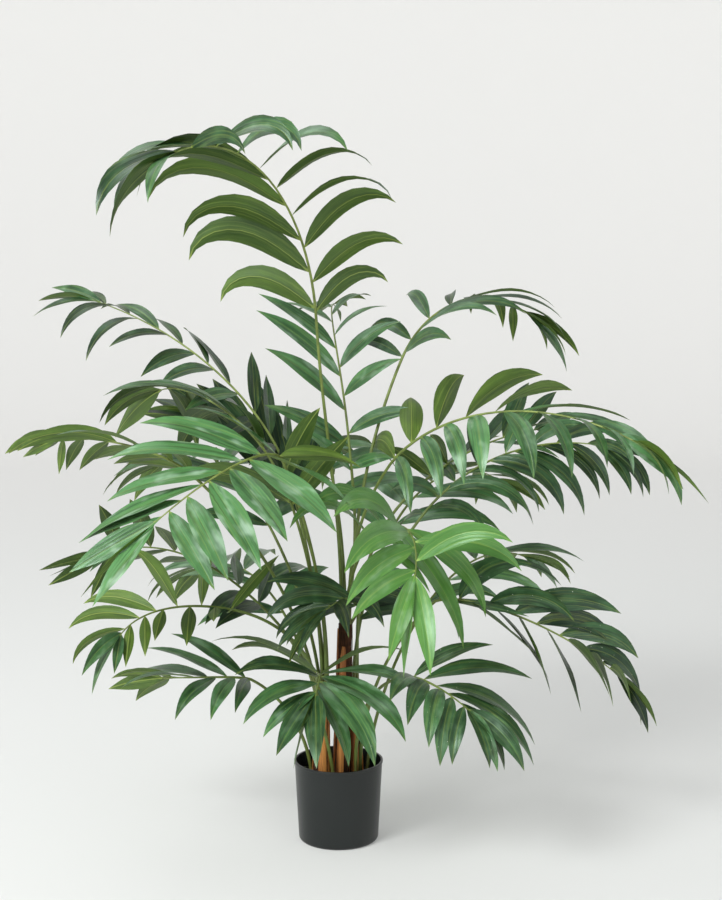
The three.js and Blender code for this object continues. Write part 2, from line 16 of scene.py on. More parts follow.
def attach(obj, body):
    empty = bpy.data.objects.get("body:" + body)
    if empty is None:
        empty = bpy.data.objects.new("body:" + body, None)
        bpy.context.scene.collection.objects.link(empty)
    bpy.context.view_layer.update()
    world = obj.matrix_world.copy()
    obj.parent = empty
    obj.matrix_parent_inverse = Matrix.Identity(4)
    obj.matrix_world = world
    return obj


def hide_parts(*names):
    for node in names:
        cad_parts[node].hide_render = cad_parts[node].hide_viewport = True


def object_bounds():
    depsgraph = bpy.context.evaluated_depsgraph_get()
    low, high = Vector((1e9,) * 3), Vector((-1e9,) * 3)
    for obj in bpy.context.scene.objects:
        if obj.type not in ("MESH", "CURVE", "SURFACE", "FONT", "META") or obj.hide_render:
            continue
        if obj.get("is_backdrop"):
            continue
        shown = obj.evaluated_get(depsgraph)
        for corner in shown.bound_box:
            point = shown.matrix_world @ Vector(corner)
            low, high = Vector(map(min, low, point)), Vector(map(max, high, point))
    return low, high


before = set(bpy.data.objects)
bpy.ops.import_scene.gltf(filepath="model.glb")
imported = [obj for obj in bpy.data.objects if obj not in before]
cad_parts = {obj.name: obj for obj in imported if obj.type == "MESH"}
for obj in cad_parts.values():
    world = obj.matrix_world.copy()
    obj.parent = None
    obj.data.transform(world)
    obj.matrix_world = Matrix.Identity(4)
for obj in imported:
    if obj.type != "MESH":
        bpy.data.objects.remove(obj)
cad_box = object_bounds()

MM = 0.001

# Camera: place in metres, degrees that it looks down, lens in millimetres. It is assumed to stand 3 m
# away, and its height, tilt and lens then follow from the pot's rim in the photograph.
CAMERA_PLACE = (0.038, -3.0, 1.09)
CAMERA_DOWN = 8.05
CAMERA_LENS = 73.4

# Pot and filling
POT_HEIGHT = 138
POT_RIM_RADIUS = 75
POT_BASE_RADIUS = 67
POT_EDGE_ROUND = 7
POT_WALL = 2.6
POT_LIP = 0.8
POT_LIP_HEIGHT = 3
POT_FLOOR = 3
POT_SIDES = 128
POT_ROUND_STEPS = 10
POT_RINGS = [30, 60, 90, 120]
FILLING_TOP = 112
FILLING_RELIEF = 1.4
FILLING_SIDES = 96
FILLING_RINGS = 24
LUMP_SIZES = [9, 4]
FINE_LUMPS = 0.5
LUMP_LIMIT = 0.4
GAP = 0.3

# Trunks: foot on the filling, top where the stalks leave it
TRUNK_FLARE = 1.1
TRUNKS = dict(
    left=dict(foot=[-29, -12], top=[-27, -8], height=256, radius=[14, 12.5]),
    middle=dict(foot=[4, -2], top=[12, 2], height=372, radius=[13, 12.5]),
    right=dict(foot=[28, 18], top=[24, 24], height=262, radius=[12.5, 12]),
)

# Stalks: a trunk carries one in the middle of its top and the others on a ring round it
SEAT_RING = 8.8
STALK_RADIUS = [3.1, 2.4]
RIB_RADIUS = [2.4, 0.9]
TUBE_SIDES = 12
PATH_STEPS = 24

# Leaflets: cloth and ridge thickness in millimetres, and the rest as shares of a leaflet's length or
# half width, or as plain counts
LEAF_WIDEST = 0.44
LEAF_SHOULDER = 0.9
LEAF_POINT = 1.15
LEAF_STATIONS = 12
LEAF_ACROSS = 5
LEAF_CLOTH = 0.5
LEAF_FOLD = 0.2
LEAF_RIDGE = 0.5
LEAF_WAVE = 0.06
LEAF_WAVES = 1.6
CLOTH_TAPER = 0.07
RIDGE_NARROWNESS = 8
RIDGE_START = 0.1
WAVE_SHIFT = 40
MERGE_WITHIN = 0.02
BEND_TERMS = 8
FIRST_LEAFLET = 0.025
HANGS_FREE = 8
TIP_LEAFLETS = [
    dict(share=0.975, sign=-1, spread=16, lift=8),
    dict(share=0.96, sign=1, spread=14, lift=25),
    dict(share=0.995, sign=1, spread=4, lift=-60),
]
TIP_LENGTH = 0.85
TIP_SAG = 0.6

# Where pairs sit: the first and last as shares of a space between two pairs, and the stagger
# between the left and right leaflet of a pair
FIRST_PAIR = 0.12
LAST_SPACE = 0.25
STAGGER = 0.18

# Leaflets are longest a little before the middle of the rib, and shorten towards its tip
BASE_LENGTH = 0.86
MIDDLE_GAIN = 0.28
MIDDLE_SHIFT = 0.12
SHORT_FROM = 0.8
SHORTENING = 0.5

# How far seeded chance shifts, turns, tips, sizes, sags and twists each leaflet
SHIFT = 0.1
SWING = 7
RISE = 10
SIZE_CHANGE = 0.1
SAG_CHANGE = 0.25
TWIST_CHANGE = 16

# A leaflet that would touch a neighbour is lifted or dropped by the first of these that clears it,
# and left out if none does
NUDGES = [0, 9, -9, 18, -18, 28, -28]
LEAF_CLEARANCE = 0.4
TOUCH_STEPS = 8

# How far chance takes each leaflet from its frond's painted light and shade
SHADE_CHANGE = 0.35


def row(leaf, spread, lift, sag, twist=(0, 0)):
    """A row of leaflets: their length, then their spread, lift, sag and twist at the neck and tip."""
    return dict(leaf=leaf, spread=spread, lift=lift, sag=sag, twist=twist)


# Fronds. tilt and heading are taken at the stalk's foot, at the neck and at the tip; curl says
# how late the rib bends. roll turns the blade at its neck and tip. breadth is a leaflet's width
# as a share of its length, hook how late it bends and wear how scuffed. shade is painted light
# and shade: how pale a frond's leaflets are painted, paler for fronds that catch the light and
# darker for fronds that lie in shadow.
# From top to base_right, most of the angles and lengths are the rounded output of a search program
# that fitted them to points read off the photograph. The rest of the table was chosen one by one.
USUAL = dict(breadth=0.2, hook=1.8, curl=1, roll=[0, 0], shade=0.5, wear=0)
FRONDS = dict(
    top=dict(
        on="middle", seat=150, stalk=510, blade=550, pairs=9, hook=2.3,
        tilt=[8, 6, 108], heading=[80, 240, 240], roll=[25, 5], shade=0.25,
        left=row(170, [50, 85], [22, 5], [95, 115], [0, -80]),
        right=row(225, [50, 15], [15, 10], [135, 140]),
    ),
    top_back=dict(
        on="middle", seat=95, stalk=245, blade=395, pairs=7, breadth=0.19, hook=1.1,
        tilt=[14, 9, 95], heading=[30, 125, 85], curl=1.8, roll=[-10, -10], shade=0.6,
        left=row(160, [55, 35], [30, 15], [20, 30]),
        right=row(120, [70, 35], [50, 25], [45, 50]),
    ),
    high_right=dict(
        on="middle", seat=45, stalk=450, blade=295, pairs=7, breadth=0.18, hook=1.9,
        tilt=[3, 25, 128], heading=[55, 25, 25], curl=1.1, roll=[20, -5], shade=0.35,
        left=row(110, [80, 40], [15, -25], [55, 90]),
        right=row(155, [55, 15], [30, -15], [55, 60]),
    ),
    mid_right=dict(
        on="middle", seat=315, stalk=295, blade=465, pairs=9, breadth=0.22, hook=1.1,
        tilt=[-3, 36, 115], heading=[305, 335, 330], curl=0.7, roll=[40, -35], shade=0.6,
        left=row(165, [90, 20], [20, 15], [60, 35], [180, -110]),
        right=row(130, [70, 20], [0, -5], [110, 100]),
    ),
    mid_right_low=dict(
        on="middle", seat=0, stalk=210, blade=360, pairs=8, hook=1.1,
        tilt=[34, 37, 103], heading=[25, 10, 5], roll=[0, 65], shade=0.1,
        left=row(120, [100, 15], [10, 60], [70, 75]),
        right=row(145, [30, 15], [-10, -10], [120, 110]),
    ),
    mid_right_back=dict(
        on="right", seat=330, stalk=380, blade=230, pairs=6, breadth=0.19, hook=2.2,
        tilt=[-2, 50, 88], heading=[105, 0, 35], roll=[-40, 25], shade=0.2,
        left=row(165, [45, 40], [20, 40], [15, 25]),
        right=row(120, [95, 30], [20, 30], [25, 25]),
    ),
    centre_young=dict(
        on="middle", seat=265, stalk=160, blade=255, pairs=6, hook=1.7, young=True,
        tilt=[13, 35, 140], heading=[280, 320, 260], curl=0.8, roll=[-70, -5],
        left=row(190, [55, 110], [-30, 60], [35, 80], [-90, -30]),
        right=row(185, [60, 50], [-20, 20], [120, 30], [-60, 0]),
    ),
    high_left=dict(
        on="left", seat=55, stalk=370, blade=470, pairs=9, breadth=0.19, hook=1,
        tilt=[3, 16, 75], heading=[170, 168, 160], curl=0.7, roll=[-22, -25], shade=0.1,
        left=row(140, [90, 45], [20, 30], [10, 80]),
        right=row(130, [40, 30], [-5, -10], [5, 50]),
    ),
    mid_left_back=dict(
        on="left", seat="middle", stalk=325, blade=350, pairs=6, hook=1.1,
        tilt=[0, 22, 107], heading=[225, 222, 127], curl=1.7, roll=[20, 25], shade=0.2,
        left=row(185, [40, 30], [10, -10], [15, 80]),
        right=row(215, [50, 60], [15, -5], [45, 40]),
    ),
    far_left=dict(
        on="left", seat=205, stalk=435, blade=260, pairs=6, hook=1,
        tilt=[11, 47, 102], heading=[168, 208, 138], curl=0.8, roll=[15, 50],
        left=row(145, [40, 15], [5, 30], [50, 60]),
        right=row(110, [55, 40], [5, -5], [15, 25]),
    ),
    front_left=dict(
        on="left", seat=310, stalk=435, blade=275, pairs=7, breadth=0.23, hook=2.4,
        tilt=[-3, 34, 130], heading=[226, 237, 200], curl=0.3, roll=[-10, -30], shade=0.9,
        left=row(190, [85, 70], [15, -20], [25, 5]),
        right=row(180, [60, 15], [30, -20], [45, 10]),
    ),
    low_left=dict(
        on="left", seat=255, stalk=220, blade=245, pairs=6, breadth=0.18, hook=1.7,
        tilt=[11, 76, 108], heading=[208, 188, 255], curl=1.1, roll=[-15, -30],
        left=row(110, [80, 20], [20, 5], [15, 20], [150, 180]),
        right=row(145, [115, 55], [50, -35], [10, 70], [140, 75]),
    ),
    low_left_back=dict(
        on="left", seat=160, stalk=165, blade=310, pairs=7, breadth=0.21, hook=1.2,
        tilt=[20, 50, 108], heading=[165, 158, 210], curl=1.8, roll=[5, 45], shade=0.1,
        left=row(150, [75, 70], [5, 10], [40, 10]),
        right=row(125, [70, 50], [30, -30], [5, 5]),
    ),
    base_left=dict(
        on="filling", foot=[-46, 2], stalk=220, blade=160, pairs=5, hook=2.2,
        tilt=[5, 60, 100], heading=[190, 222, 142], curl=0.4, roll=[-35, 45], shade=0.45,
        left=row(125, [45, 55], [5, 5], [40, 55]),
        right=row(155, [60, 30], [5, 10], [25, 20]),
    ),
    base_front=dict(
        on="filling", foot=[-8, -24], stalk=210, blade=105, pairs=5, breadth=0.25, hook=2.2,
        tilt=[6, 38, 118], heading=[196, 283, 255], curl=0.5, roll=[-10, 10], shade=0.3, wear=0.4,
        left=row(175, [50, 30], [30, -40], [75, 75]),
        right=row(165, [95, 25], [40, 15], [65, 40]),
    ),
    base_right_front=dict(
        on="filling", foot=[30, -18], stalk=280, blade=135, pairs=5, breadth=0.24, hook=1.2,
        tilt=[-8, 80, 112], heading=[296, 312, 310], curl=0.5, roll=[0, 20], shade=0.3, wear=0.8,
        left=row(160, [55, 15], [35, -45], [45, 90]),
        right=row(130, [65, 55], [35, -5], [40, 95]),
    ),
    base_right=dict(
        on="filling", foot=[36, -6], stalk=355, blade=340, pairs=8, breadth=0.21, hook=1.1,
        tilt=[0, 48, 130], heading=[329, 333, 385], curl=0.3, roll=[65, 15], shade=0, wear=0.9,
        left=row(155, [65, 25], [40, 40], [70, 85]),
        right=row(150, [15, 115], [30, 30], [5, 55], [-55, -35]),
    ),
    back_high=dict(
        on="left", seat=5, stalk=300, blade=250, pairs=4, breadth=0.29,
        tilt=[0, 25, 80], heading=[110, 150, 160], curl=1.2, shade=0,
        left=row(150, [35, 25], [50, 40], [10, 20], [100, 100]),
        right=row(150, [35, 25], [40, 40], [10, 20]),
    ),
    back=dict(
        on="middle", seat="middle", stalk=210, blade=380, pairs=5, breadth=0.19,
        tilt=[10, 50, 115], heading=[95, 100, 92], shade=0.4,
        left=row(175, [65, 35], [10, 10], [55, 55]),
        right=row(175, [65, 35], [10, 10], [55, 55]),
    ),
    back_right=dict(
        on="right", seat=90, stalk=265, blade=380, pairs=5, breadth=0.19,
        tilt=[6, 45, 118], heading=[60, 55, 50],
        left=row(175, [65, 35], [10, 10], [55, 55]),
        right=row(175, [65, 35], [10, 10], [55, 55]),
    ),
    back_left=dict(
        on="left", seat=105, stalk=290, blade=360, pairs=5, breadth=0.19,
        tilt=[8, 42, 112], heading=[140, 132, 128],
        left=row(170, [62, 38], [10, 10], [55, 55]),
        right=row(170, [62, 38], [10, 10], [55, 55]),
    ),
    base_back_right=dict(
        on="filling", foot=[48, 24], stalk=300, blade=300, pairs=6,
        tilt=[8, 48, 112], heading=[40, 45, 50],
        left=row(165, [65, 35], [10, 10], [50, 50]),
        right=row(165, [65, 35], [10, 10], [55, 55]),
    ),
    base_back_left=dict(
        on="filling", foot=[-18, 32], stalk=280, blade=300, pairs=5,
        tilt=[8, 50, 115], heading=[125, 125, 128],
        left=row(165, [65, 35], [10, 10], [55, 55]),
        right=row(165, [65, 35], [10, 10], [50, 50]),
    ),
    centre_low=dict(
        on="right", seat=280, stalk=115, blade=150, pairs=5, breadth=0.22, hook=1.6,
        tilt=[4, 16, 118], heading=[320, 275, 220], curl=0.9, shade=0,
        left=row(130, [70, 45], [15, 10], [60, 60], [-110, -20]),
        right=row(130, [70, 45], [15, 10], [60, 60], [-110, -20]),
    ),
)

FRONDS = {name: {**USUAL, **frond} for name, frond in FRONDS.items()}

DOWN = Vector((0, 0, -1))
Station = namedtuple("Station", "point tangent up side")
Leaflet = namedtuple("Leaflet", "base along face length breadth bend hook tone wear")


def mix(a, b, t):
    return a + (b - a) * t


class Draws:
    """Seeded numbers from -1 to 1, the same as the part's source draws."""

    def __init__(self, seed):
        self.state = (seed * 2654435761 + 12345) % 2**32
        for _ in range(3):
            self.next()

    def next(self):
        self.state = (self.state * 1664525 + 1013904223) % 2**32
        return self.state / 2**31 - 1


# Where everything grows


def direction(tilt, heading):
    """Unit direction at a tilt and heading in degrees."""
    t, h = math.radians(tilt), math.radians(heading)
    return Vector((math.sin(t) * math.cos(h), math.sin(t) * math.sin(h), math.cos(t)))


def trunk_at(trunk, share):
    """Point on a trunk's axis at a share of its height, and its radius there."""
    foot, top = trunk["foot"], trunk["top"]
    flare = 1 + (TRUNK_FLARE - 1) * (1 - share) ** 4
    point = Vector((
        mix(foot[0], top[0], share),
        mix(foot[1], top[1], share),
        mix(FILLING_TOP + GAP, trunk["height"], share),
    ))
    return point * MM, mix(*trunk["radius"], share) * flare * MM


def stalk_foot(frond):
    """Where a frond's stalk starts: on its trunk's top, or on the filling."""
    if frond["on"] == "filling":
        return Vector((*frond["foot"], FILLING_TOP + GAP)) * MM
    trunk = TRUNKS[frond["on"]]
    in_middle = frond["seat"] == "middle"
    ring = 0 if in_middle else SEAT_RING
    angle = 0 if in_middle else math.radians(frond["seat"])
    x = trunk["top"][0] + ring * math.cos(angle)
    y = trunk["top"][1] + ring * math.sin(angle)
    return Vector((x, y, trunk["height"] + GAP)) * MM


def walk(start, length, pose):
    """Stations along a path: point, tangent, the blade's upper normal and its right-hand side."""
    stations = []
    point = start.copy()
    for i in range(PATH_STEPS + 1):
        tilt, heading, roll = pose(i / PATH_STEPS)
        tangent = direction(tilt, heading)
        up = direction(tilt - 90, heading)
        turn = Quaternion(tangent, math.radians(roll))
        stations.append(Station(point.copy(), tangent, turn @ up, turn @ tangent.cross(up)))
        tilt, heading, _ = pose((i + 0.5) / PATH_STEPS)
        point += direction(tilt, heading) * (length * MM / PATH_STEPS)
    return stations


def stalk_path(frond):
    tilt, heading = frond["tilt"], frond["heading"]
    return walk(
        stalk_foot(frond), frond["stalk"],
        lambda t: (mix(tilt[0], tilt[1], t), mix(heading[0], heading[1], t), 0),
    )


def rib_path(frond):
    neck = stalk_path(frond)[-1]
    tilt, heading, roll = frond["tilt"], frond["heading"], frond["roll"]
    return walk(
        neck.point + neck.tangent * GAP * MM, frond["blade"],
        lambda t: (
            mix(tilt[1], tilt[2], t ** frond["curl"]),
            mix(heading[1], heading[2], t),
            mix(roll[0], roll[1], t),
        ),
    )


def station_at(path, share):
    """The station at a share of a path, between its two neighbours."""
    x = min(max(share, 0), 1) * (len(path) - 1)
    i = min(int(x), len(path) - 2)
    point, *turns = (a.lerp(b, x - i) for a, b in zip(path[i], path[i + 1]))
    return Station(point, *(turn.normalized() for turn in turns))


def leaflet_pose(station, sign, spread, lift, twist):
    """Where a leaflet points and faces.

    Spread turns it off the rib, lift raises it above the blade's plane and twist rolls its face.
    """
    outward = station.side * (sign * math.cos(lift)) + station.up * math.sin(lift)
    along = (station.tangent * math.cos(spread) + outward * math.sin(spread)).normalized()
    face = station.up * math.cos(lift) - station.side * (sign * math.sin(lift))
    face = (face - along * face.dot(along)).normalized()
    return along, Quaternion(along, sign * twist) @ face


def leaflet_plans(frond, seed, path):
    """Every leaflet of a frond: pairs along the rib, then the ones at its tip."""
    draws = Draws(seed)
    plans = []
    for k in range(frond["pairs"]):
        for sign in (-1, 1):
            shift, swing, rise, size, drop, turn = (draws.next() for _ in range(6))
            even = (k + FIRST_PAIR) / (frond["pairs"] - LAST_SPACE)
            share = even + (sign * STAGGER + SHIFT * shift) / frond["pairs"]
            if share > 1:
                continue
            leaves = frond["left"] if sign < 0 else frond["right"]
            fullness = BASE_LENGTH + MIDDLE_GAIN * math.sin(math.pi * min(share + MIDDLE_SHIFT, 1))
            shorter = 1 - SHORTENING * max(share - SHORT_FROM, 0)
            plans.append(dict(
                station=station_at(path, max(share, FIRST_LEAFLET)),
                sign=sign,
                spread=mix(*leaves["spread"], share) + SWING * swing,
                lift=mix(*leaves["lift"], share) + RISE * rise,
                twist=mix(*leaves["twist"], share) + TWIST_CHANGE * turn,
                length=leaves["leaf"] * fullness * shorter * (1 + SIZE_CHANGE * size),
                sag=mix(*leaves["sag"], share) * (1 + SAG_CHANGE * drop),
            ))
    for tip in TIP_LEAFLETS:
        leaves = frond["left"] if tip["sign"] < 0 else frond["right"]
        plans.append(dict(
            station=station_at(path, tip["share"]),
            sign=tip["sign"],
            spread=tip["spread"],
            lift=tip["lift"],
            twist=0,
            length=leaves["leaf"] * TIP_LENGTH,
            sag=leaves["sag"][1] * TIP_SAG,
        ))
    return plans


# Leaflets that give way to what is there already


def leaf_shape(u):
    """Half width of a leaflet as a share of its widest, at a share of its length."""
    return (u / LEAF_WIDEST) ** LEAF_SHOULDER * ((1 - u) / (1 - LEAF_WIDEST)) ** LEAF_POINT


def touch_shape(leaf):
    """A rough strip in a leaflet's place, for finding what the leaflet would touch."""
    axis = leaf.along.cross(DOWN).normalized()
    point = leaf.base.copy()
    corners = []
    for i in range(TOUCH_STEPS):
        u = (i + 0.5) / TOUCH_STEPS
        turn = Quaternion(axis, leaf.bend * u**leaf.hook)
        along = turn @ leaf.along
        across = along.cross(turn @ leaf.face) * (leaf_shape(u) * leaf.length * leaf.breadth / 2)
        point += along * (leaf.length / TOUCH_STEPS / 2)
        corners += [point - across, point + across]
        point += along * (leaf.length / TOUCH_STEPS / 2)
    faces = [(2 * i, 2 * i + 1, 2 * i + 3, 2 * i + 2) for i in range(TOUCH_STEPS - 1)]
    return touchable(corners, faces)


def touchable(corners, faces):
    """A search tree of faces, with the lowest and highest corner of the box round them."""
    places = np.array([tuple(corner) for corner in corners])
    tree = BVHTree.FromPolygons(corners, faces, epsilon=LEAF_CLEARANCE * MM)
    return tree, places.min(0) - LEAF_CLEARANCE * MM, places.max(0) + LEAF_CLEARANCE * MM


def touches(shape, others):
    tree, low, high = shape
    for other, other_low, other_high in others:
        if (low <= other_high).all() and (other_low <= high).all() and tree.overlap(other):
            return True
    return False


def settled_leaflets():
    """Every frond's leaflets, nudged clear of the limbs and of the fronds before them, or left out."""
    taken = []
    for name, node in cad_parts.items():
        if not name.startswith("frond_"):
            corners = [v.co for v in node.data.vertices]
            taken.append(touchable(corners, [tuple(p.vertices) for p in node.data.polygons]))
    grown = {}
    for index, (name, frond) in enumerate(FRONDS.items()):
        chance = random.Random(index + 1)
        leaves = []
        shapes = []
        for plan in leaflet_plans(frond, index + 1, rib_path(frond)):
            # A leaflet's tone is its frond's painted light and shade, changed at random.
            tone = mix(frond["shade"], chance.random(), SHADE_CHANGE)
            for nudge in NUDGES:
                along, face = leaflet_pose(
                    plan["station"], plan["sign"], math.radians(plan["spread"]),
                    math.radians(plan["lift"] + nudge), math.radians(plan["twist"]),
                )
                room = along.angle(DOWN) - math.radians(HANGS_FREE)
                bend = min(max(math.radians(plan["sag"]), 0), max(room, 0))
                leaf = Leaflet(
                    plan["station"].point, along, face, plan["length"] * MM, frond["breadth"],
                    bend, frond["hook"], tone, frond["wear"],
                )
                shape = touch_shape(leaf)
                if not touches(shape, taken):
                    leaves.append(leaf)
                    shapes.append(shape)
                    break
        taken += shapes
        grown[name] = leaves
    return grown


# Node trees

# Edges that fold by more radians than this stay sharp
SHARP_FOLD = 1.1

# Attributes that every finished mesh keeps
MESH_ATTRIBUTES = ("sharp_edge", "sharp_face", "material_index")


class Wire:
    """A node's output. Arithmetic on wires adds the maths nodes that work it out."""

    def __init__(self, graph, socket):
        self.graph = graph
        self.socket = socket

    def __add__(self, other):
        return self.graph.maths("ADD", self, other)

    def __sub__(self, other):
        return self.graph.maths("SUBTRACT", self, other)

    def __rsub__(self, other):
        return self.graph.maths("SUBTRACT", other, self)

    def __mul__(self, other):
        return self.graph.maths("MULTIPLY", self, other)

    def __truediv__(self, other):
        return self.graph.maths("DIVIDE", self, other)

    def __pow__(self, other):
        return self.graph.maths("POWER", self, other)

    __radd__ = __add__
    __rmul__ = __mul__


def is_vector(value):
    if isinstance(value, Wire):
        return value.socket.type == "VECTOR"
    return hasattr(value, "__len__")


def find_socket(sockets, key):
    return next(s for s in sockets if s.enabled and key in (s.name, s.identifier))


class Graph:
    """A node tree with short ways to add and join its nodes."""

    def __init__(self, tree):
        self.tree = tree

    def add(self, kind, values=None, **settings):
        """Adds a node with its settings, and feeds its inputs by name."""
        node = self.tree.nodes.new(kind)
        for key, value in settings.items():
            setattr(node, key, value)
        for key, value in (values or {}).items():
            self.feed(find_socket(node.inputs, key), value)
        return node

    def feed(self, socket, value):
        if isinstance(value, Wire):
            self.tree.links.new(value.socket, socket)
        else:
            socket.default_value = value

    def wire(self, kind, output, values=None, **settings):
        """One output of a new node."""
        node = self.add(kind, values, **settings)
        return Wire(self, find_socket(node.outputs, output))

    def maths(self, operation, *values):
        if not any(is_vector(value) for value in values):
            node = self.add("ShaderNodeMath", operation=operation)
        elif operation == "MULTIPLY" and not all(is_vector(value) for value in values):
            vector, scale = sorted(values, key=is_vector, reverse=True)
            inputs = {"Vector": vector, "Scale": scale}
            return self.wire("ShaderNodeVectorMath", "Vector", inputs, operation="SCALE")
        else:
            node = self.add("ShaderNodeVectorMath", operation=operation)
        for socket, value in zip(node.inputs, values):
            self.feed(socket, value)
        return Wire(self, next(s for s in node.outputs if s.enabled))

    def parts(self, vector):
        """The three numbers of a vector."""
        node = self.add("ShaderNodeSeparateXYZ", {"Vector": vector})
        return [Wire(self, s) for s in node.outputs]

    def vector(self, x, y, z):
        return self.wire("ShaderNodeCombineXYZ", "Vector", {"X": x, "Y": y, "Z": z})

    def clamped(self, value, low, high):
        """A value taken from low to high and laid out from 0 to 1."""
        inputs = {"Value": value, "From Min": low, "From Max": high}
        return self.wire("ShaderNodeMapRange", "Result", inputs, interpolation_type="SMOOTHSTEP")


class Grower(Graph):
    """A Geometry Nodes tree with one geometry in, one out, and named inputs."""

    def __init__(self, name, inputs):
        super().__init__(bpy.data.node_groups.new(name, "GeometryNodeTree"))
        self.values = inputs
        make = self.tree.interface.new_socket
        make("Geometry", in_out="INPUT", socket_type="NodeSocketGeometry")
        for label, value in inputs.items():
            kinds = {int: "NodeSocketInt", float: "NodeSocketFloat"}
            make(label, in_out="INPUT", socket_type=kinds.get(type(value), "NodeSocketMaterial"))
        make("Geometry", in_out="OUTPUT", socket_type="NodeSocketGeometry")
        self.source = self.add("NodeGroupInput")
        self.result = self.add("NodeGroupOutput")

    def __getitem__(self, label):
        return Wire(self, self.source.outputs[label])

    def then(self, geometry, kind, values=None, **settings):
        """The geometry after one more node."""
        node = self.add(kind, values, **settings)
        self.feed(node.inputs[0], geometry)
        return Wire(self, node.outputs[0])

    def stored(self, geometry, name, value, data_type="FLOAT", domain="POINT"):
        inputs = {"Name": name, "Value": value}
        return self.then(
            geometry, "GeometryNodeStoreNamedAttribute", inputs, data_type=data_type, domain=domain,
        )

    def named(self, name, data_type="FLOAT"):
        return self.wire(
            "GeometryNodeInputNamedAttribute", "Attribute", {"Name": name}, data_type=data_type,
        )

    def finish(self, geometry, material):
        """Smooth faces with sharp folds, plain geometry and a material."""
        geometry = self.then(geometry, "GeometryNodeSetShadeSmooth", domain="FACE")
        angle = self.wire("GeometryNodeInputMeshEdgeAngle", "Unsigned Angle")
        inputs = {"A": angle, "B": SHARP_FOLD}
        sharp = self.wire("FunctionNodeCompare", "Result", inputs, operation="GREATER_THAN")
        inputs = {"Selection": sharp, "Shade Smooth": False}
        geometry = self.then(geometry, "GeometryNodeSetShadeSmooth", inputs, domain="EDGE")
        geometry = self.then(geometry, "GeometryNodeRealizeInstances")
        geometry = self.then(geometry, "GeometryNodeSetMaterial", {"Material": material})
        self.feed(self.result.inputs[0], geometry)

    def grow(self, name, source, keep=()):
        """The plain mesh piece that this tree makes from a source object's data."""
        seedling = bpy.data.objects.new(name + "_source", source)
        bpy.context.scene.collection.objects.link(seedling)
        modifier = seedling.modifiers.new("grow", "NODES")
        modifier.node_group = self.tree
        for item in self.tree.interface.items_tree:
            if item.in_out == "INPUT" and item.name in self.values:
                modifier[item.identifier] = self.values[item.name]
        bpy.context.view_layer.update()
        depsgraph = bpy.context.evaluated_depsgraph_get()
        mesh = bpy.data.meshes.new_from_object(
            seedling.evaluated_get(depsgraph), preserve_all_data_layers=True, depsgraph=depsgraph,
        )
        bpy.data.objects.remove(seedling)
        spare = [a.name for a in mesh.attributes if not a.is_internal and not a.is_required]
        for label in spare:
            if label not in (*keep, *MESH_ATTRIBUTES):
                mesh.attributes.remove(mesh.attributes[label])
        return new_piece(name, mesh)


def new_piece(name, mesh):
    mesh.name = name
    piece = bpy.data.objects.new(name, mesh)
    bpy.context.scene.collection.objects.link(piece)
    return piece


def bend_sums(graph, share, bend, hook):
    """How far a bending leaflet has gone along and down at a share of its length.

    These are the sums of the cosine and sine of bend * w ** hook for w up to share, as series.
    """
    along, sunk = share, 0
    term = 1
    for k in range(1, BEND_TERMS + 1):
        term = term * bend * (1 / k)
        part = term * share ** (hook * k + 1) / (hook * k + 1)
        sign = -1 if k % 4 in (2, 3) else 1
        if k % 2:
            sunk = sunk + part * sign
        else:
            along = along + part * sign
    return along, sunk


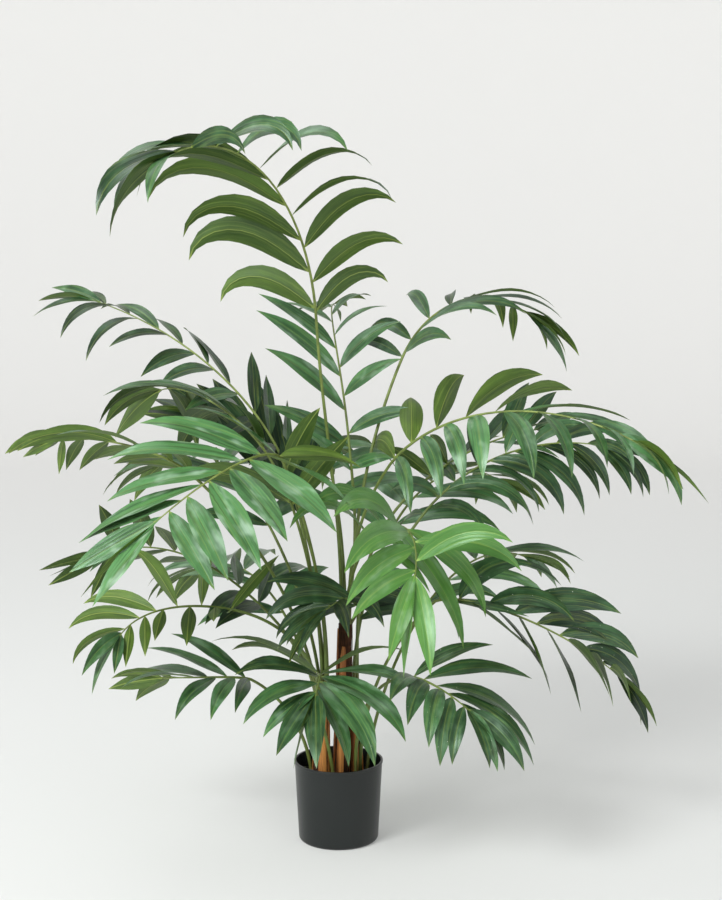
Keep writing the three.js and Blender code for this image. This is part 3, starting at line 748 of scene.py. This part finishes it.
def leaflet_grower(material):
    """Grows a folded, bending blade of two faces from each point of a mesh of leaflet bases."""
    g = Grower("grow_leaflets", {
        "Stations": LEAF_STATIONS,
        "Across": LEAF_ACROSS,
        "Cloth": LEAF_CLOTH * MM,
        "Ridge": LEAF_RIDGE * MM,
        "Fold": LEAF_FOLD,
        "Wave": LEAF_WAVE,
        "Material": material,
    })
    sheet = g.wire(
        "GeometryNodeMeshGrid", "Mesh",
        {"Size X": 1.0, "Size Y": 2.0, "Vertices X": g["Stations"], "Vertices Y": g["Across"]},
    )
    x, y, _ = g.parts(g.wire("GeometryNodeInputPosition", "Position"))
    blade = g.add("GeometryNodeJoinGeometry")
    for level, under in ((1.0, 0.0), (-1.0, 1.0)):
        spot = g.vector(x + 0.5, y * y * y, level)
        side = g.stored(sheet, "spot", spot, "FLOAT_VECTOR")
        side = g.stored(side, "under", under, domain="FACE")
        if under:
            side = g.then(side, "GeometryNodeFlipFaces")
        g.feed(blade.inputs[0], side)
    instances = g.then(
        g["Geometry"], "GeometryNodeInstanceOnPoints", {"Instance": Wire(g, blade.outputs[0])},
    )
    blades = g.then(instances, "GeometryNodeRealizeInstances")

    share, across, level = g.parts(g.named("spot", "FLOAT_VECTOR"))
    along, face, root = (g.named(key, "FLOAT_VECTOR") for key in ("along", "face", "root"))
    length, bend, hook, tone = (g.named(key) for key in ("length", "bend", "hook", "tone"))
    sink = DOWN[:] - along * g.maths("DOT_PRODUCT", along, DOWN[:])
    sink = g.maths("NORMALIZE", sink)
    axis = g.maths("CROSS_PRODUCT", along, sink)
    angle = bend * share**hook
    cosine, sine = g.maths("COSINE", angle), g.maths("SINE", angle)
    here = along * cosine + sink * sine
    normal = (sink * cosine - along * sine) * g.maths("DOT_PRODUCT", face, sink)
    normal = normal + axis * g.maths("DOT_PRODUCT", face, axis)
    sideways = g.maths("CROSS_PRODUCT", here, normal)
    gone, sunk = bend_sums(g, share, bend, hook)
    centre = root + (along * gone + sink * sunk) * length

    rise = (share / LEAF_WIDEST) ** LEAF_SHOULDER
    fall = ((1 - share) / (1 - LEAF_WIDEST)) ** LEAF_POINT
    half = rise * fall * length * g.named("breadth") * 0.5
    distance = g.maths("ABSOLUTE", across)
    wave = g.maths("SINE", share * (LEAF_WAVES * 2 * math.pi) + tone * WAVE_SHIFT) * across
    ends = g.clamped(share * (1 - share), 0.0, CLOTH_TAPER)
    cloth = level * (1 - across * across) * ends * g["Cloth"] * 0.5
    ridge = g.maths("MAXIMUM", 1 - distance * RIDGE_NARROWNESS, 0.0) * g.maths("MAXIMUM", level * -1, 0.0)
    ridge = ridge * g["Ridge"] * (1 - share) * g.clamped(share, 0.0, RIDGE_START)
    lift = distance * half * g["Fold"] + wave * half * g["Wave"] + cloth - ridge
    place = centre + sideways * (across * half) + normal * lift
    blades = g.then(blades, "GeometryNodeSetPosition", {"Position": place})
    blades = g.stored(blades, "blade", g.vector(share, across, half), "FLOAT_VECTOR")
    blades = g.then(blades, "GeometryNodeMergeByDistance", {"Distance": MERGE_WITHIN * MM})
    g.finish(blades, g["Material"])
    return g


def leaflet_points(name, leaves):
    """A mesh with a point at each leaflet's base, which carries the leaflet's directions and sizes."""
    mesh = bpy.data.meshes.new(name)
    mesh.from_pydata([leaf.base for leaf in leaves], [], [])
    for label, key in dict(root="base", along="along", face="face").items():
        values = np.ravel([getattr(leaf, key)[:] for leaf in leaves])
        data = mesh.attributes.new(label, "FLOAT_VECTOR", "POINT").data
        data.foreach_set("vector", values.astype(np.float32))
    for label in ("length", "breadth", "bend", "hook", "tone", "wear"):
        data = mesh.attributes.new(label, "FLOAT", "POINT").data
        data.foreach_set("value", [getattr(leaf, label) for leaf in leaves])
    return mesh


def tube_grower(name, sides, material):
    """Wraps a round tube round every line of a curve, as thick as the line's radius."""
    g = Grower(name, {"Sides": sides, "Material": material})
    inputs = {"Resolution": g["Sides"], "Radius": 1.0}
    profile = g.wire("GeometryNodeCurvePrimitiveCircle", "Curve", inputs, mode="RADIUS")
    run = g.wire("GeometryNodeSplineParameter", "Length")
    lines = g.stored(g["Geometry"], "run", run)
    radius = g.wire("GeometryNodeInputRadius", "Radius")
    tubes = g.then(
        lines, "GeometryNodeCurveToMesh", {"Profile Curve": profile, "Scale": radius, "Fill Caps": True},
    )
    g.finish(tubes, g["Material"])
    return g


def curve_lines(name, lines):
    """A curve with one straight-run spline for each list of (point, radius)."""
    curve = bpy.data.curves.new(name, "CURVE")
    curve.dimensions = "3D"
    for line in lines:
        spline = curve.splines.new("POLY")
        spline.points.add(len(line) - 1)
        for slot, (point, radius) in zip(spline.points, line):
            slot.co = (*point, 1)
            slot.radius = radius
    return curve


def stalk_lines():
    """Each frond's stalk and rib as one tapering line from its foot to its tip."""
    lines = []
    for frond in FRONDS.values():
        stalk, rib = stalk_path(frond), rib_path(frond)
        steps = len(stalk) - 1
        line = [(s.point, mix(*STALK_RADIUS, i / steps) * MM) for i, s in enumerate(stalk)]
        line += [(s.point, mix(*RIB_RADIUS, i / steps) * MM) for i, s in enumerate(rib)][1:]
        lines.append(line)
    return lines


# Materials


class Paint(Graph):
    """A material's node tree. Constant values are set on the shader's own sockets."""

    def __init__(self, name, **constants):
        self.material = bpy.data.materials.new(name)
        self.material.use_nodes = True
        super().__init__(self.material.node_tree)
        self.shader = self.tree.nodes["Principled BSDF"]
        for key, value in constants.items():
            self.shader.inputs[key.replace("_", " ")].default_value = value

    def set(self, **wires):
        for key, value in wires.items():
            self.feed(self.shader.inputs[key.replace("_", " ")], value)
        return self.material

    def places(self):
        return self.wire("ShaderNodeTexCoord", "Object")

    def attribute(self, name, output="Fac"):
        return self.wire("ShaderNodeAttribute", output, attribute_name=name)

    def speckle(self, scale, detail=2.0, roughness=0.5, vector=None):
        """Smooth seeded noise from 0 to 1, over the piece's own places or another vector."""
        inputs = {"Scale": scale, "Detail": detail, "Roughness": roughness}
        return self.wire("ShaderNodeTexNoise", "Fac", {"Vector": vector or self.places(), **inputs})

    def grain(self, around, upward, detail, roughness=0.5):
        """Noise drawn out upwards, from its repeats a metre round a trunk and up it."""
        x, y, z = self.parts(self.places())
        return self.speckle(1.0, detail, roughness, self.vector(x * around, y * around, z * upward))

    def blend(self, share, a, b):
        """A colour between two colours."""
        return self.wire("ShaderNodeMix", "Result", {"Factor": share, "A": a, "B": b}, data_type="RGBA")

    def bump(self, height, strength, distance):
        inputs = {"Height": height, "Strength": strength, "Distance": distance}
        return self.wire("ShaderNodeBump", "Normal", inputs)


def rgb(red, green, blue):
    """A screen colour from 0 to 255 as the linear colour that shaders take."""
    def linear(value):
        value /= 255
        return value / 12.92 if value <= 0.04045 else ((value + 0.055) / 1.055) ** 2.4
    return (linear(red), linear(green), linear(blue), 1)


def leaf_material(name, deep, fresh, below, below_fresh, rib):
    """Printed leaf cloth with fine veins, a yellow-green foot, painted pale sheen, painted shade in its
    pleats and an olive underside.
    """
    p = Paint(name, Specular_IOR_Level=0.5, Specular_Tint=(0.8, 1.0, 0.88, 1.0))
    share, across, half = p.parts(p.attribute("blade", "Vector"))
    tone = p.attribute("tone")
    under = p.attribute("under")
    upper = 1 - under
    off_middle = across * half
    distance = p.maths("ABSOLUTE", off_middle)
    # The first white is the colour of the painted sheen, the second that of real scuffs.
    sheen_white, scuff_white = rgb(172, 198, 176), rgb(206, 212, 196)

    def streaks(along, wide, shift, detail, roughness=0.5):
        """Noise drawn out along a leaflet, and shifted from one leaflet to the next."""
        spot = p.vector(share * along, off_middle * wide, tone * shift)
        return p.speckle(1.0, detail, roughness, spot)

    veins = streaks(along=1.5, wide=420, shift=60, detail=3.0, roughness=0.6)
    pleats = streaks(along=1.2, wide=190, shift=75, detail=1.0)
    patches = streaks(along=5, wide=60, shift=90, detail=2.0)
    # Painted sheen: pale patches of reflected light in long streaks on the upper face.
    painted_sheen = p.clamped(streaks(along=3.5, wide=45, shift=40, detail=2.0), 0.5, 0.72)
    scuffs = p.clamped(p.speckle(scale=330.0, detail=1.0), 0.77, 0.8) * p.attribute("wear")
    weave = p.speckle(scale=2600.0, detail=1.0)
    midrib = p.clamped(distance, 0.0012, 0.0003)
    furrow = p.clamped(distance, 0.0026, 0.001) * under
    foot = p.clamped(share, 0.05, 0.0)

    # Painted light and shade: shade follows each leaflet's tone, which carries its frond's painted light
    # and shade, and random patches. It runs from the deep colours, which stand for shade, to the fresh
    # colours, which stand for light.
    shade = p.clamped(tone * 0.8 + patches * 0.5, 0.2, 1.05)
    colour = p.blend(under, p.blend(shade, deep, fresh), p.blend(shade, below, below_fresh))
    colour = p.blend(p.clamped(veins, 0.48, 0.74) * 0.75, colour, p.blend(0.36, colour, rib))
    # Painted shade: the hollows of the pleats are darkened.
    colour = p.blend(p.clamped(pleats, 0.55, 0.3) * 0.5, colour, p.blend(under, deep, below))
    colour = p.blend(furrow * 0.45, colour, below)
    colour = p.blend(midrib * (0.2 + under * 0.35), colour, rib)
    colour = p.blend(foot * 0.85, colour, rib)
    # Painted sheen on the upper face, strongest on the palest leaflets, which stand for the most lit ones.
    colour = p.blend(painted_sheen * shade * shade * upper * 0.65, colour, sheen_white)
    colour = p.blend(scuffs * upper, colour, scuff_white)
    height = veins * 0.7 + pleats * 1.6 + weave * 0.15 + midrib * 0.4
    rough = 0.25 + under * 0.22 + patches * 0.16
    return p.set(Base_Color=colour, Roughness=rough, Normal=p.bump(height, 0.6, 0.0009))


def stalk_material():
    """Moulded green plastic, duller and browner at the foot."""
    p = Paint("stalk_plastic", Specular_IOR_Level=0.45)
    low_green, high_green = rgb(96, 116, 52), rgb(128, 143, 72)
    spot_green, foot_brown = rgb(84, 99, 40), rgb(92, 74, 38)
    run = p.attribute("run")
    mottle = p.speckle(scale=45.0, detail=3.0)
    green = p.blend(p.clamped(run, 0.1, 0.75), low_green, high_green)
    colour = p.blend(p.clamped(mottle, 0.35, 0.75), green, spot_green)
    colour = p.blend(p.clamped(run, 0.05, 0.0) * 0.5, colour, foot_brown)
    bump = p.bump(p.speckle(scale=900.0), 0.15, 0.0004)
    return p.set(Base_Color=colour, Roughness=0.4 + mottle * 0.15, Normal=bump)


def bark_material():
    """Copper-brown bark strips with long grain."""
    p = Paint("bark_strip", Specular_IOR_Level=0.35)
    copper, tan, groove_brown = rgb(122, 66, 26), rgb(190, 130, 66), rgb(74, 38, 16)
    grain = p.grain(around=420, upward=9, detail=4.0, roughness=0.65)
    broad = p.grain(around=60, upward=5, detail=2.0)
    colour = p.blend(p.clamped(broad, 0.3, 0.7), copper, tan)
    colour = p.blend(p.clamped(grain, 0.45, 0.75) * 0.7, colour, groove_brown)
    return p.set(Base_Color=colour, Roughness=0.5 + grain * 0.2, Normal=p.bump(grain, 0.5, 0.001))


def fibre_material():
    """Dark brown trunk fibre."""
    p = Paint("trunk_fibre", Roughness=0.85, Specular_IOR_Level=0.2)
    dark, pale, rust = rgb(30, 18, 12), rgb(88, 56, 34), rgb(110, 62, 32)
    strands = p.grain(around=700, upward=40, detail=4.0, roughness=0.7)
    colour = p.blend(p.clamped(strands, 0.35, 0.75), dark, pale)
    colour = p.blend(p.clamped(p.speckle(scale=55.0), 0.45, 0.8) * 0.5, colour, rust)
    return p.set(Base_Color=colour, Normal=p.bump(strands, 0.7, 0.0015))


def pot_material():
    """Satin charcoal plastic with a fine moulded grain."""
    p = Paint("pot_plastic", Specular_IOR_Level=0.5)
    cloud = p.speckle(scale=18.0, detail=3.0)
    colour = p.blend(cloud, rgb(9, 15, 14), rgb(14, 21, 20))
    bump = p.bump(p.speckle(scale=1500.0), 0.12, 0.0004)
    return p.set(Base_Color=colour, Roughness=0.3 + cloud * 0.12, Normal=bump)


def filling_material():
    """Rough dark cast filling."""
    p = Paint("cast_filling", Roughness=0.95, Specular_IOR_Level=0.2)
    lumps = p.speckle(scale=160.0, detail=5.0, roughness=0.65)
    colour = p.blend(p.clamped(lumps, 0.35, 0.75), rgb(14, 13, 12), rgb(44, 39, 34))
    return p.set(Base_Color=colour, Normal=p.bump(lumps, 0.8, 0.003))


# Pieces in mesh code


def band(low, high, closed=True):
    """Faces between two rows of points, with points that the rows share left out."""
    faces = []
    for j in range(len(low) if closed else len(low) - 1):
        k = (j + 1) % len(low)
        faces.append(list(dict.fromkeys([low[j], low[k], high[k], high[j]])))
    return faces


def lathed(name, profile, sides, relief=None):
    """A closed round piece from a profile of (radius, height) that starts and ends on the axis."""
    points, faces, rings = [], [], []
    for radius, height in profile:
        if radius == 0:
            rings.append([len(points)] * sides)
            points.append(Vector((0, 0, height)) * MM)
            continue
        rings.append(list(range(len(points), len(points) + sides)))
        for j in range(sides):
            a = 2 * math.pi * j / sides
            spot = Vector((radius * math.cos(a), radius * math.sin(a), height))
            points.append((spot + (relief(spot) if relief else Vector())) * MM)
    for low, high in zip(rings, rings[1:]):
        faces += band(low, high)
    return mesh_piece(name, points, faces)


def mesh_piece(name, points, faces):
    mesh = bpy.data.meshes.new(name)
    mesh.from_pydata(points, [], faces)
    return new_piece(name, mesh)


def smooth(piece, material, sharp_above=40):
    piece.data.materials.append(material)
    piece.data.shade_smooth()
    piece.data.set_sharp_from_angle(angle=math.radians(sharp_above))
    return piece


def pot_radius(z):
    """Outer radius of the pot at a height, on its straight wall."""
    return mix(POT_BASE_RADIUS, POT_RIM_RADIUS - POT_LIP, z / POT_HEIGHT)


def arc(centre, radius, start, end, steps=POT_ROUND_STEPS):
    """Points on a round edge, from one angle in degrees to another."""
    angles = (math.radians(mix(start, end, i / steps)) for i in range(steps + 1))
    return [(centre[0] + radius * math.cos(a), centre[1] + radius * math.sin(a)) for a in angles]


def make_pot():
    lip_foot = POT_HEIGHT - POT_LIP_HEIGHT
    inner = pot_radius(POT_HEIGHT) - POT_WALL
    round_in = POT_LIP / 2
    profile = [(0, 0)]
    profile += arc((pot_radius(POT_EDGE_ROUND) - POT_EDGE_ROUND, POT_EDGE_ROUND), POT_EDGE_ROUND, 270, 360)
    profile += [(pot_radius(z), z) for z in POT_RINGS]
    profile += [(pot_radius(lip_foot - POT_LIP), lip_foot - POT_LIP)]
    profile += arc((POT_RIM_RADIUS - round_in, lip_foot - round_in), round_in, 300, 360, 4)
    profile += arc((POT_RIM_RADIUS - round_in, POT_HEIGHT - round_in), round_in, 0, 90, 5)
    profile += arc((inner + round_in, POT_HEIGHT - round_in), round_in, 90, 180, 5)
    profile += [(pot_radius(z) - POT_WALL, z) for z in reversed(POT_RINGS)]
    corner = pot_radius(POT_FLOOR) - POT_WALL - POT_EDGE_ROUND
    profile += arc((corner, POT_FLOOR + POT_EDGE_ROUND), POT_EDGE_ROUND, 0, -90)
    profile += [(0, POT_FLOOR)]
    return smooth(lathed("pot_shell", profile, POT_SIDES), pot_material())


def make_filling():
    edge = pot_radius(FILLING_TOP) - POT_WALL - GAP
    foot = POT_FLOOR + GAP

    def relief(spot):
        if spot.z < FILLING_TOP:
            return Vector()
        lumps = noise.noise(spot / LUMP_SIZES[0]) + FINE_LUMPS * noise.noise(spot / LUMP_SIZES[1])
        return Vector((0, 0, min(lumps, LUMP_LIMIT) * FILLING_RELIEF))

    profile = [(0, foot), (pot_radius(foot) - POT_WALL - POT_EDGE_ROUND - 2 * GAP, foot)]
    profile += [(pot_radius(foot + POT_EDGE_ROUND) - POT_WALL - GAP, foot + POT_EDGE_ROUND)]
    profile += [(edge, FILLING_TOP - 1)]
    profile += [(edge * (1 - i / FILLING_RINGS), FILLING_TOP) for i in range(FILLING_RINGS + 1)]
    return smooth(lathed("filling_cast", profile, FILLING_SIDES, relief), filling_material())


# Trunk skins: how often their ridges repeat round and up, how high the broad and the fine ridges
# are, how much finer the fine ones are, and how deep the skin lies under the trunk's radius
TRUNK_ROWS = 60
TRUNK_AROUND = 48
GRAIN_ROUND = 4
GRAIN_UP = 7
RIDGE_HEIGHTS = [0.5, 0.35]
RIDGE_FINER = 2.3
TRUNK_SINK = 0.9

# Bark strips: the middle of each strip's angle, its width in degrees, and its foot and top as shares
# of the trunk's height. Their faces swell and lump in millimetres, their edges wander and fray by
# degrees and shares of their width, and their tops narrow where they are torn.
STRIPS = dict(
    left=[(-80, 62, 0, 1), (-20, 46, 0, 0.93), (60, 70, 0, 0.97), (175, 50, 0, 1)],
    middle=[(-100, 56, 0, 0.86), (-165, 44, 0, 0.97), (20, 50, 0, 0.78), (110, 60, 0, 0.95)],
    right=[(-90, 60, 0, 0.96), (10, 70, 0, 1), (130, 60, 0, 0.9)],
)
STRIP_ROWS = 30
STRIP_COLUMNS = 8
STRIP_THICKNESS = 1.1
STRIP_SINK = 0.4
STRIP_SWELL = 0.35
STRIP_LUMPS = 0.3
STRIP_SWAY = 3
STRIP_WIDTH_SHARES = [0.94, 0.12]
EDGE_REPEATS = 9
LUMP_REPEATS = [2, 12]
TORN_FROM = 0.86
TORN_SHARE = 0.55

# Loose fibres: their feet and lengths as shares of the trunk's height, the most that they twist
# round it in radians, their radii, and their lift off the skin at the ends and added in the middle
FIBRE_SEED = 7
FIBRE_SIDES = 4
FIBRES_A_TRUNK = 150
FIBRE_STEPS = 7
FIBRE_FEET = [0, 0.85]
FIBRE_LENGTHS = [0.08, 0.3]
FIBRE_TWIST = 0.5
FIBRE_RADII = [0.2, 0.45]
FIBRE_LIFTS = [0.1, 0.5]
FIBRE_TAPER = 0.6


def trunk_spot(trunk, share, angle, lift):
    """A point on a trunk at a share of its height, at an angle and a lift off its skin in millimetres."""
    point, radius = trunk_at(trunk, share)
    return point + Vector((math.cos(angle), math.sin(angle), 0)) * (radius + lift * MM)


def rows_of(first, rows, columns):
    """The numbers of the points in a grid of rows whose first point has the number first."""
    return [list(range(first + i * columns, first + (i + 1) * columns)) for i in range(rows)]


def make_trunk_cores():
    """Trunks with a skin of fine upright ridges."""
    points, faces = [], []
    for trunk in TRUNKS.values():
        rows = rows_of(len(points), TRUNK_ROWS, TRUNK_AROUND)
        for i in range(TRUNK_ROWS):
            share = i / (TRUNK_ROWS - 1)
            for j in range(TRUNK_AROUND):
                angle = 2 * math.pi * j / TRUNK_AROUND
                seat = Vector((
                    GRAIN_ROUND * math.cos(angle), GRAIN_ROUND * math.sin(angle), GRAIN_UP * share,
                ))
                ridge = RIDGE_HEIGHTS[0] * noise.noise(seat)
                ridge += RIDGE_HEIGHTS[1] * noise.noise(seat * RIDGE_FINER)
                points.append(trunk_spot(trunk, share, angle, ridge - TRUNK_SINK))
        for low, high in zip(rows, rows[1:]):
            faces += band(low, high)
        faces += [rows[0][::-1], rows[-1]]
    return smooth(mesh_piece("trunk_cores", points, faces), fibre_material(), 60)


def strip_points(trunk, heading, width, low, high):
    """The inner and then the outer face of a strip of bark, row by row."""
    for level in (0, 1):
        for i in range(STRIP_ROWS):
            t = i / (STRIP_ROWS - 1)
            share = mix(low, high, t)
            ragged = noise.noise(Vector((heading, share * EDGE_REPEATS, 0)))
            torn = 1 - TORN_SHARE * max(t - TORN_FROM, 0) / (1 - TORN_FROM)
            reach = width * (STRIP_WIDTH_SHARES[0] + STRIP_WIDTH_SHARES[1] * ragged) * torn
            for j in range(STRIP_COLUMNS):
                across = 2 * j / (STRIP_COLUMNS - 1) - 1
                angle = math.radians(heading + across * reach / 2 + STRIP_SWAY * ragged)
                spot = Vector((across * LUMP_REPEATS[0], share * LUMP_REPEATS[1], heading))
                swell = STRIP_SWELL * (1 - across * across) + STRIP_LUMPS * noise.noise(spot)
                yield trunk_spot(trunk, share, angle, swell + level * STRIP_THICKNESS - STRIP_SINK)


def border(rows):
    """The points round the edge of a grid of rows, in turn."""
    sides = rows[0][:-1] + [row[-1] for row in rows[:-1]]
    return sides + rows[-1][:0:-1] + [row[0] for row in rows[:0:-1]]


def make_bark_strips():
    """Thin curved strips of bark on the trunks, with ragged edges and torn tops."""
    points, faces = [], []
    for name, strips in STRIPS.items():
        for strip in strips:
            rows = rows_of(len(points), 2 * STRIP_ROWS, STRIP_COLUMNS)
            inner, outer = rows[:STRIP_ROWS], rows[STRIP_ROWS:]
            points += strip_points(TRUNKS[name], *strip)
            for low, high in zip(outer, outer[1:]):
                faces += band(low, high, closed=False)
            for low, high in zip(inner, inner[1:]):
                faces += [face[:1] + face[:0:-1] for face in band(low, high, closed=False)]
            faces += band(border(inner), border(outer))
    return smooth(mesh_piece("bark_strips", points, faces), bark_material(), 50)


def fibre_lines():
    """Loose fibres that lie on the trunks, each a little off upright."""
    chance = random.Random(FIBRE_SEED)
    lines = []
    for trunk in TRUNKS.values():
        for _ in range(FIBRES_A_TRUNK):
            angle = chance.uniform(0, 2 * math.pi)
            low = chance.uniform(*FIBRE_FEET)
            high = min(low + chance.uniform(*FIBRE_LENGTHS), 1)
            twist = chance.uniform(-FIBRE_TWIST, FIBRE_TWIST)
            radius = chance.uniform(*FIBRE_RADII) * MM
            line = []
            for i in range(FIBRE_STEPS):
                t = i / (FIBRE_STEPS - 1)
                lift = FIBRE_LIFTS[0] + FIBRE_LIFTS[1] * math.sin(math.pi * t)
                spot = trunk_spot(trunk, mix(low, high, t), angle + twist * t, lift)
                line.append((spot, radius * (1 - FIBRE_TAPER * abs(2 * t - 1) ** 3)))
            lines.append(line)
    return lines


# Setting: floor, lights and camera

# Backdrop: radius where its floor begins to curve, radius of the curve, height of its wall, and how
# bright the paper glows
FLOOR_REACH = 4400
FLOOR_CURVE = 1900
FLOOR_CURVE_STEPS = 18
WALL_HEIGHT = 3400
PAPER_GLOW = 0.2

# Square lights, in metres and watts, and the strength of the white light from all round
LIGHTS = dict(
    key=dict(place=(-3.4, -4.8, 4.2), aim=(0, 0, 0.7), size=2.8, power=620),
    fill=dict(place=(2.8, -3.0, 1.6), aim=(0, 0, 0.6), size=2.4, power=22),
    top=dict(place=(-1.0, 0.9, 3.1), aim=(0, 0, 0.7), size=1.6, power=15),
)
SKY_STRENGTH = 0.46


def make_floor():
    """A pale round floor that sweeps up into a wall all round."""
    profile = [(0, 0), (FLOOR_REACH / 3, 0), (FLOOR_REACH * 2 / 3, 0)]
    profile += arc((FLOOR_REACH, FLOOR_CURVE), FLOOR_CURVE, -90, 0, FLOOR_CURVE_STEPS)
    profile += [(FLOOR_REACH + FLOOR_CURVE, WALL_HEIGHT)]
    floor = lathed("floor", profile, POT_SIDES)
    floor.data.flip_normals()
    p = Paint("paper_backdrop", Roughness=0.9, Specular_IOR_Level=0.1, Emission_Strength=PAPER_GLOW)
    distance = p.maths("LENGTH", p.places())
    paper = p.blend(p.clamped(distance, 1.5, 4.8), rgb(195, 197, 195), rgb(209, 209, 207))
    smooth(floor, p.set(Base_Color=paper, Emission_Color=(1, 1, 1, 1)))
    floor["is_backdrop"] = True


def add_light(name, place, aim, size, power):
    data = bpy.data.lights.new(name, "AREA")
    data.shape = "SQUARE"
    data.size = size
    data.energy = power
    light = bpy.data.objects.new(name, data)
    light.location = place
    light.rotation_euler = (Vector(aim) - Vector(place)).to_track_quat("-Z", "Y").to_euler()
    bpy.context.scene.collection.objects.link(light)


def add_camera():
    data = bpy.data.cameras.new("camera")
    data.lens = CAMERA_LENS
    camera = bpy.data.objects.new("camera", data)
    camera.location = CAMERA_PLACE
    camera.rotation_euler = (math.radians(90 - CAMERA_DOWN), 0, 0)
    bpy.context.scene.collection.objects.link(camera)
    bpy.context.scene.camera = camera


def add_studio():
    make_floor()
    for name, light in LIGHTS.items():
        add_light(name, **light)
    world = bpy.data.worlds.new("studio")
    world.use_nodes = True
    sky = world.node_tree.nodes["Background"].inputs
    sky["Color"].default_value = (1, 1, 1, 1)
    sky["Strength"].default_value = SKY_STRENGTH
    bpy.context.scene.world = world
    bpy.context.scene.view_settings.view_transform = "Standard"


def nodes_called(start):
    return [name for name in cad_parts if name.startswith(start)]


def take_place(piece, slot, *nodes):
    """A finished piece joins the root body and stands for CAD nodes, which are hidden. slot is not used.
    """
    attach(piece, "root")
    if nodes:
        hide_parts(*nodes)


add_camera()
add_studio()

take_place(make_pot(), "pot", "pot")
take_place(make_filling(), "filling", "filling")
take_place(make_trunk_cores(), "trunk", *nodes_called("trunk_"))
take_place(make_bark_strips(), "trunk")
fibres = tube_grower("grow_fibres", FIBRE_SIDES, fibre_material())
take_place(fibres.grow("trunk_fibres", curve_lines("fibres", fibre_lines())), "trunk")
stalks = tube_grower("grow_stalks", TUBE_SIDES, stalk_material())
take_place(
    stalks.grow("stalks", curve_lines("stalk_lines", stalk_lines()), keep=("run",)),
    "stalk", *nodes_called("stalk_"),
)

old, young = [], []
for name, leaves in settled_leaflets().items():
    kind = young if "young" in FRONDS[name] else old
    kind += leaves
# deep and below are the colours of leaflets painted as in shadow, fresh and below_fresh those of leaflets
# painted as lit; between them also lies the cloth's random change of tone.
leaf_cloth = leaf_material(
    "leaf_cloth", deep=rgb(7, 28, 11), fresh=rgb(84, 134, 80),
    below=rgb(44, 66, 17), below_fresh=rgb(92, 120, 40), rib=rgb(140, 156, 72),
)
young_cloth = leaf_material(
    "young_leaf_cloth", deep=rgb(62, 108, 44), fresh=rgb(94, 146, 68),
    below=rgb(72, 104, 38), below_fresh=rgb(104, 138, 54), rib=rgb(160, 184, 92),
)
keep = ("blade", "tone", "under", "wear")
grown = leaflet_grower(leaf_cloth).grow("leaflets", leaflet_points("leaf_points", old), keep)
take_place(grown, "frond", *[n for n in nodes_called("frond_") if n != "frond_centre_young"])
grown = leaflet_grower(young_cloth).grow("young_leaflets", leaflet_points("young_points", young), keep)
take_place(grown, "young_frond", "frond_centre_young")

[[list(corner) for corner in box] for box in (cad_box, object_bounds())]
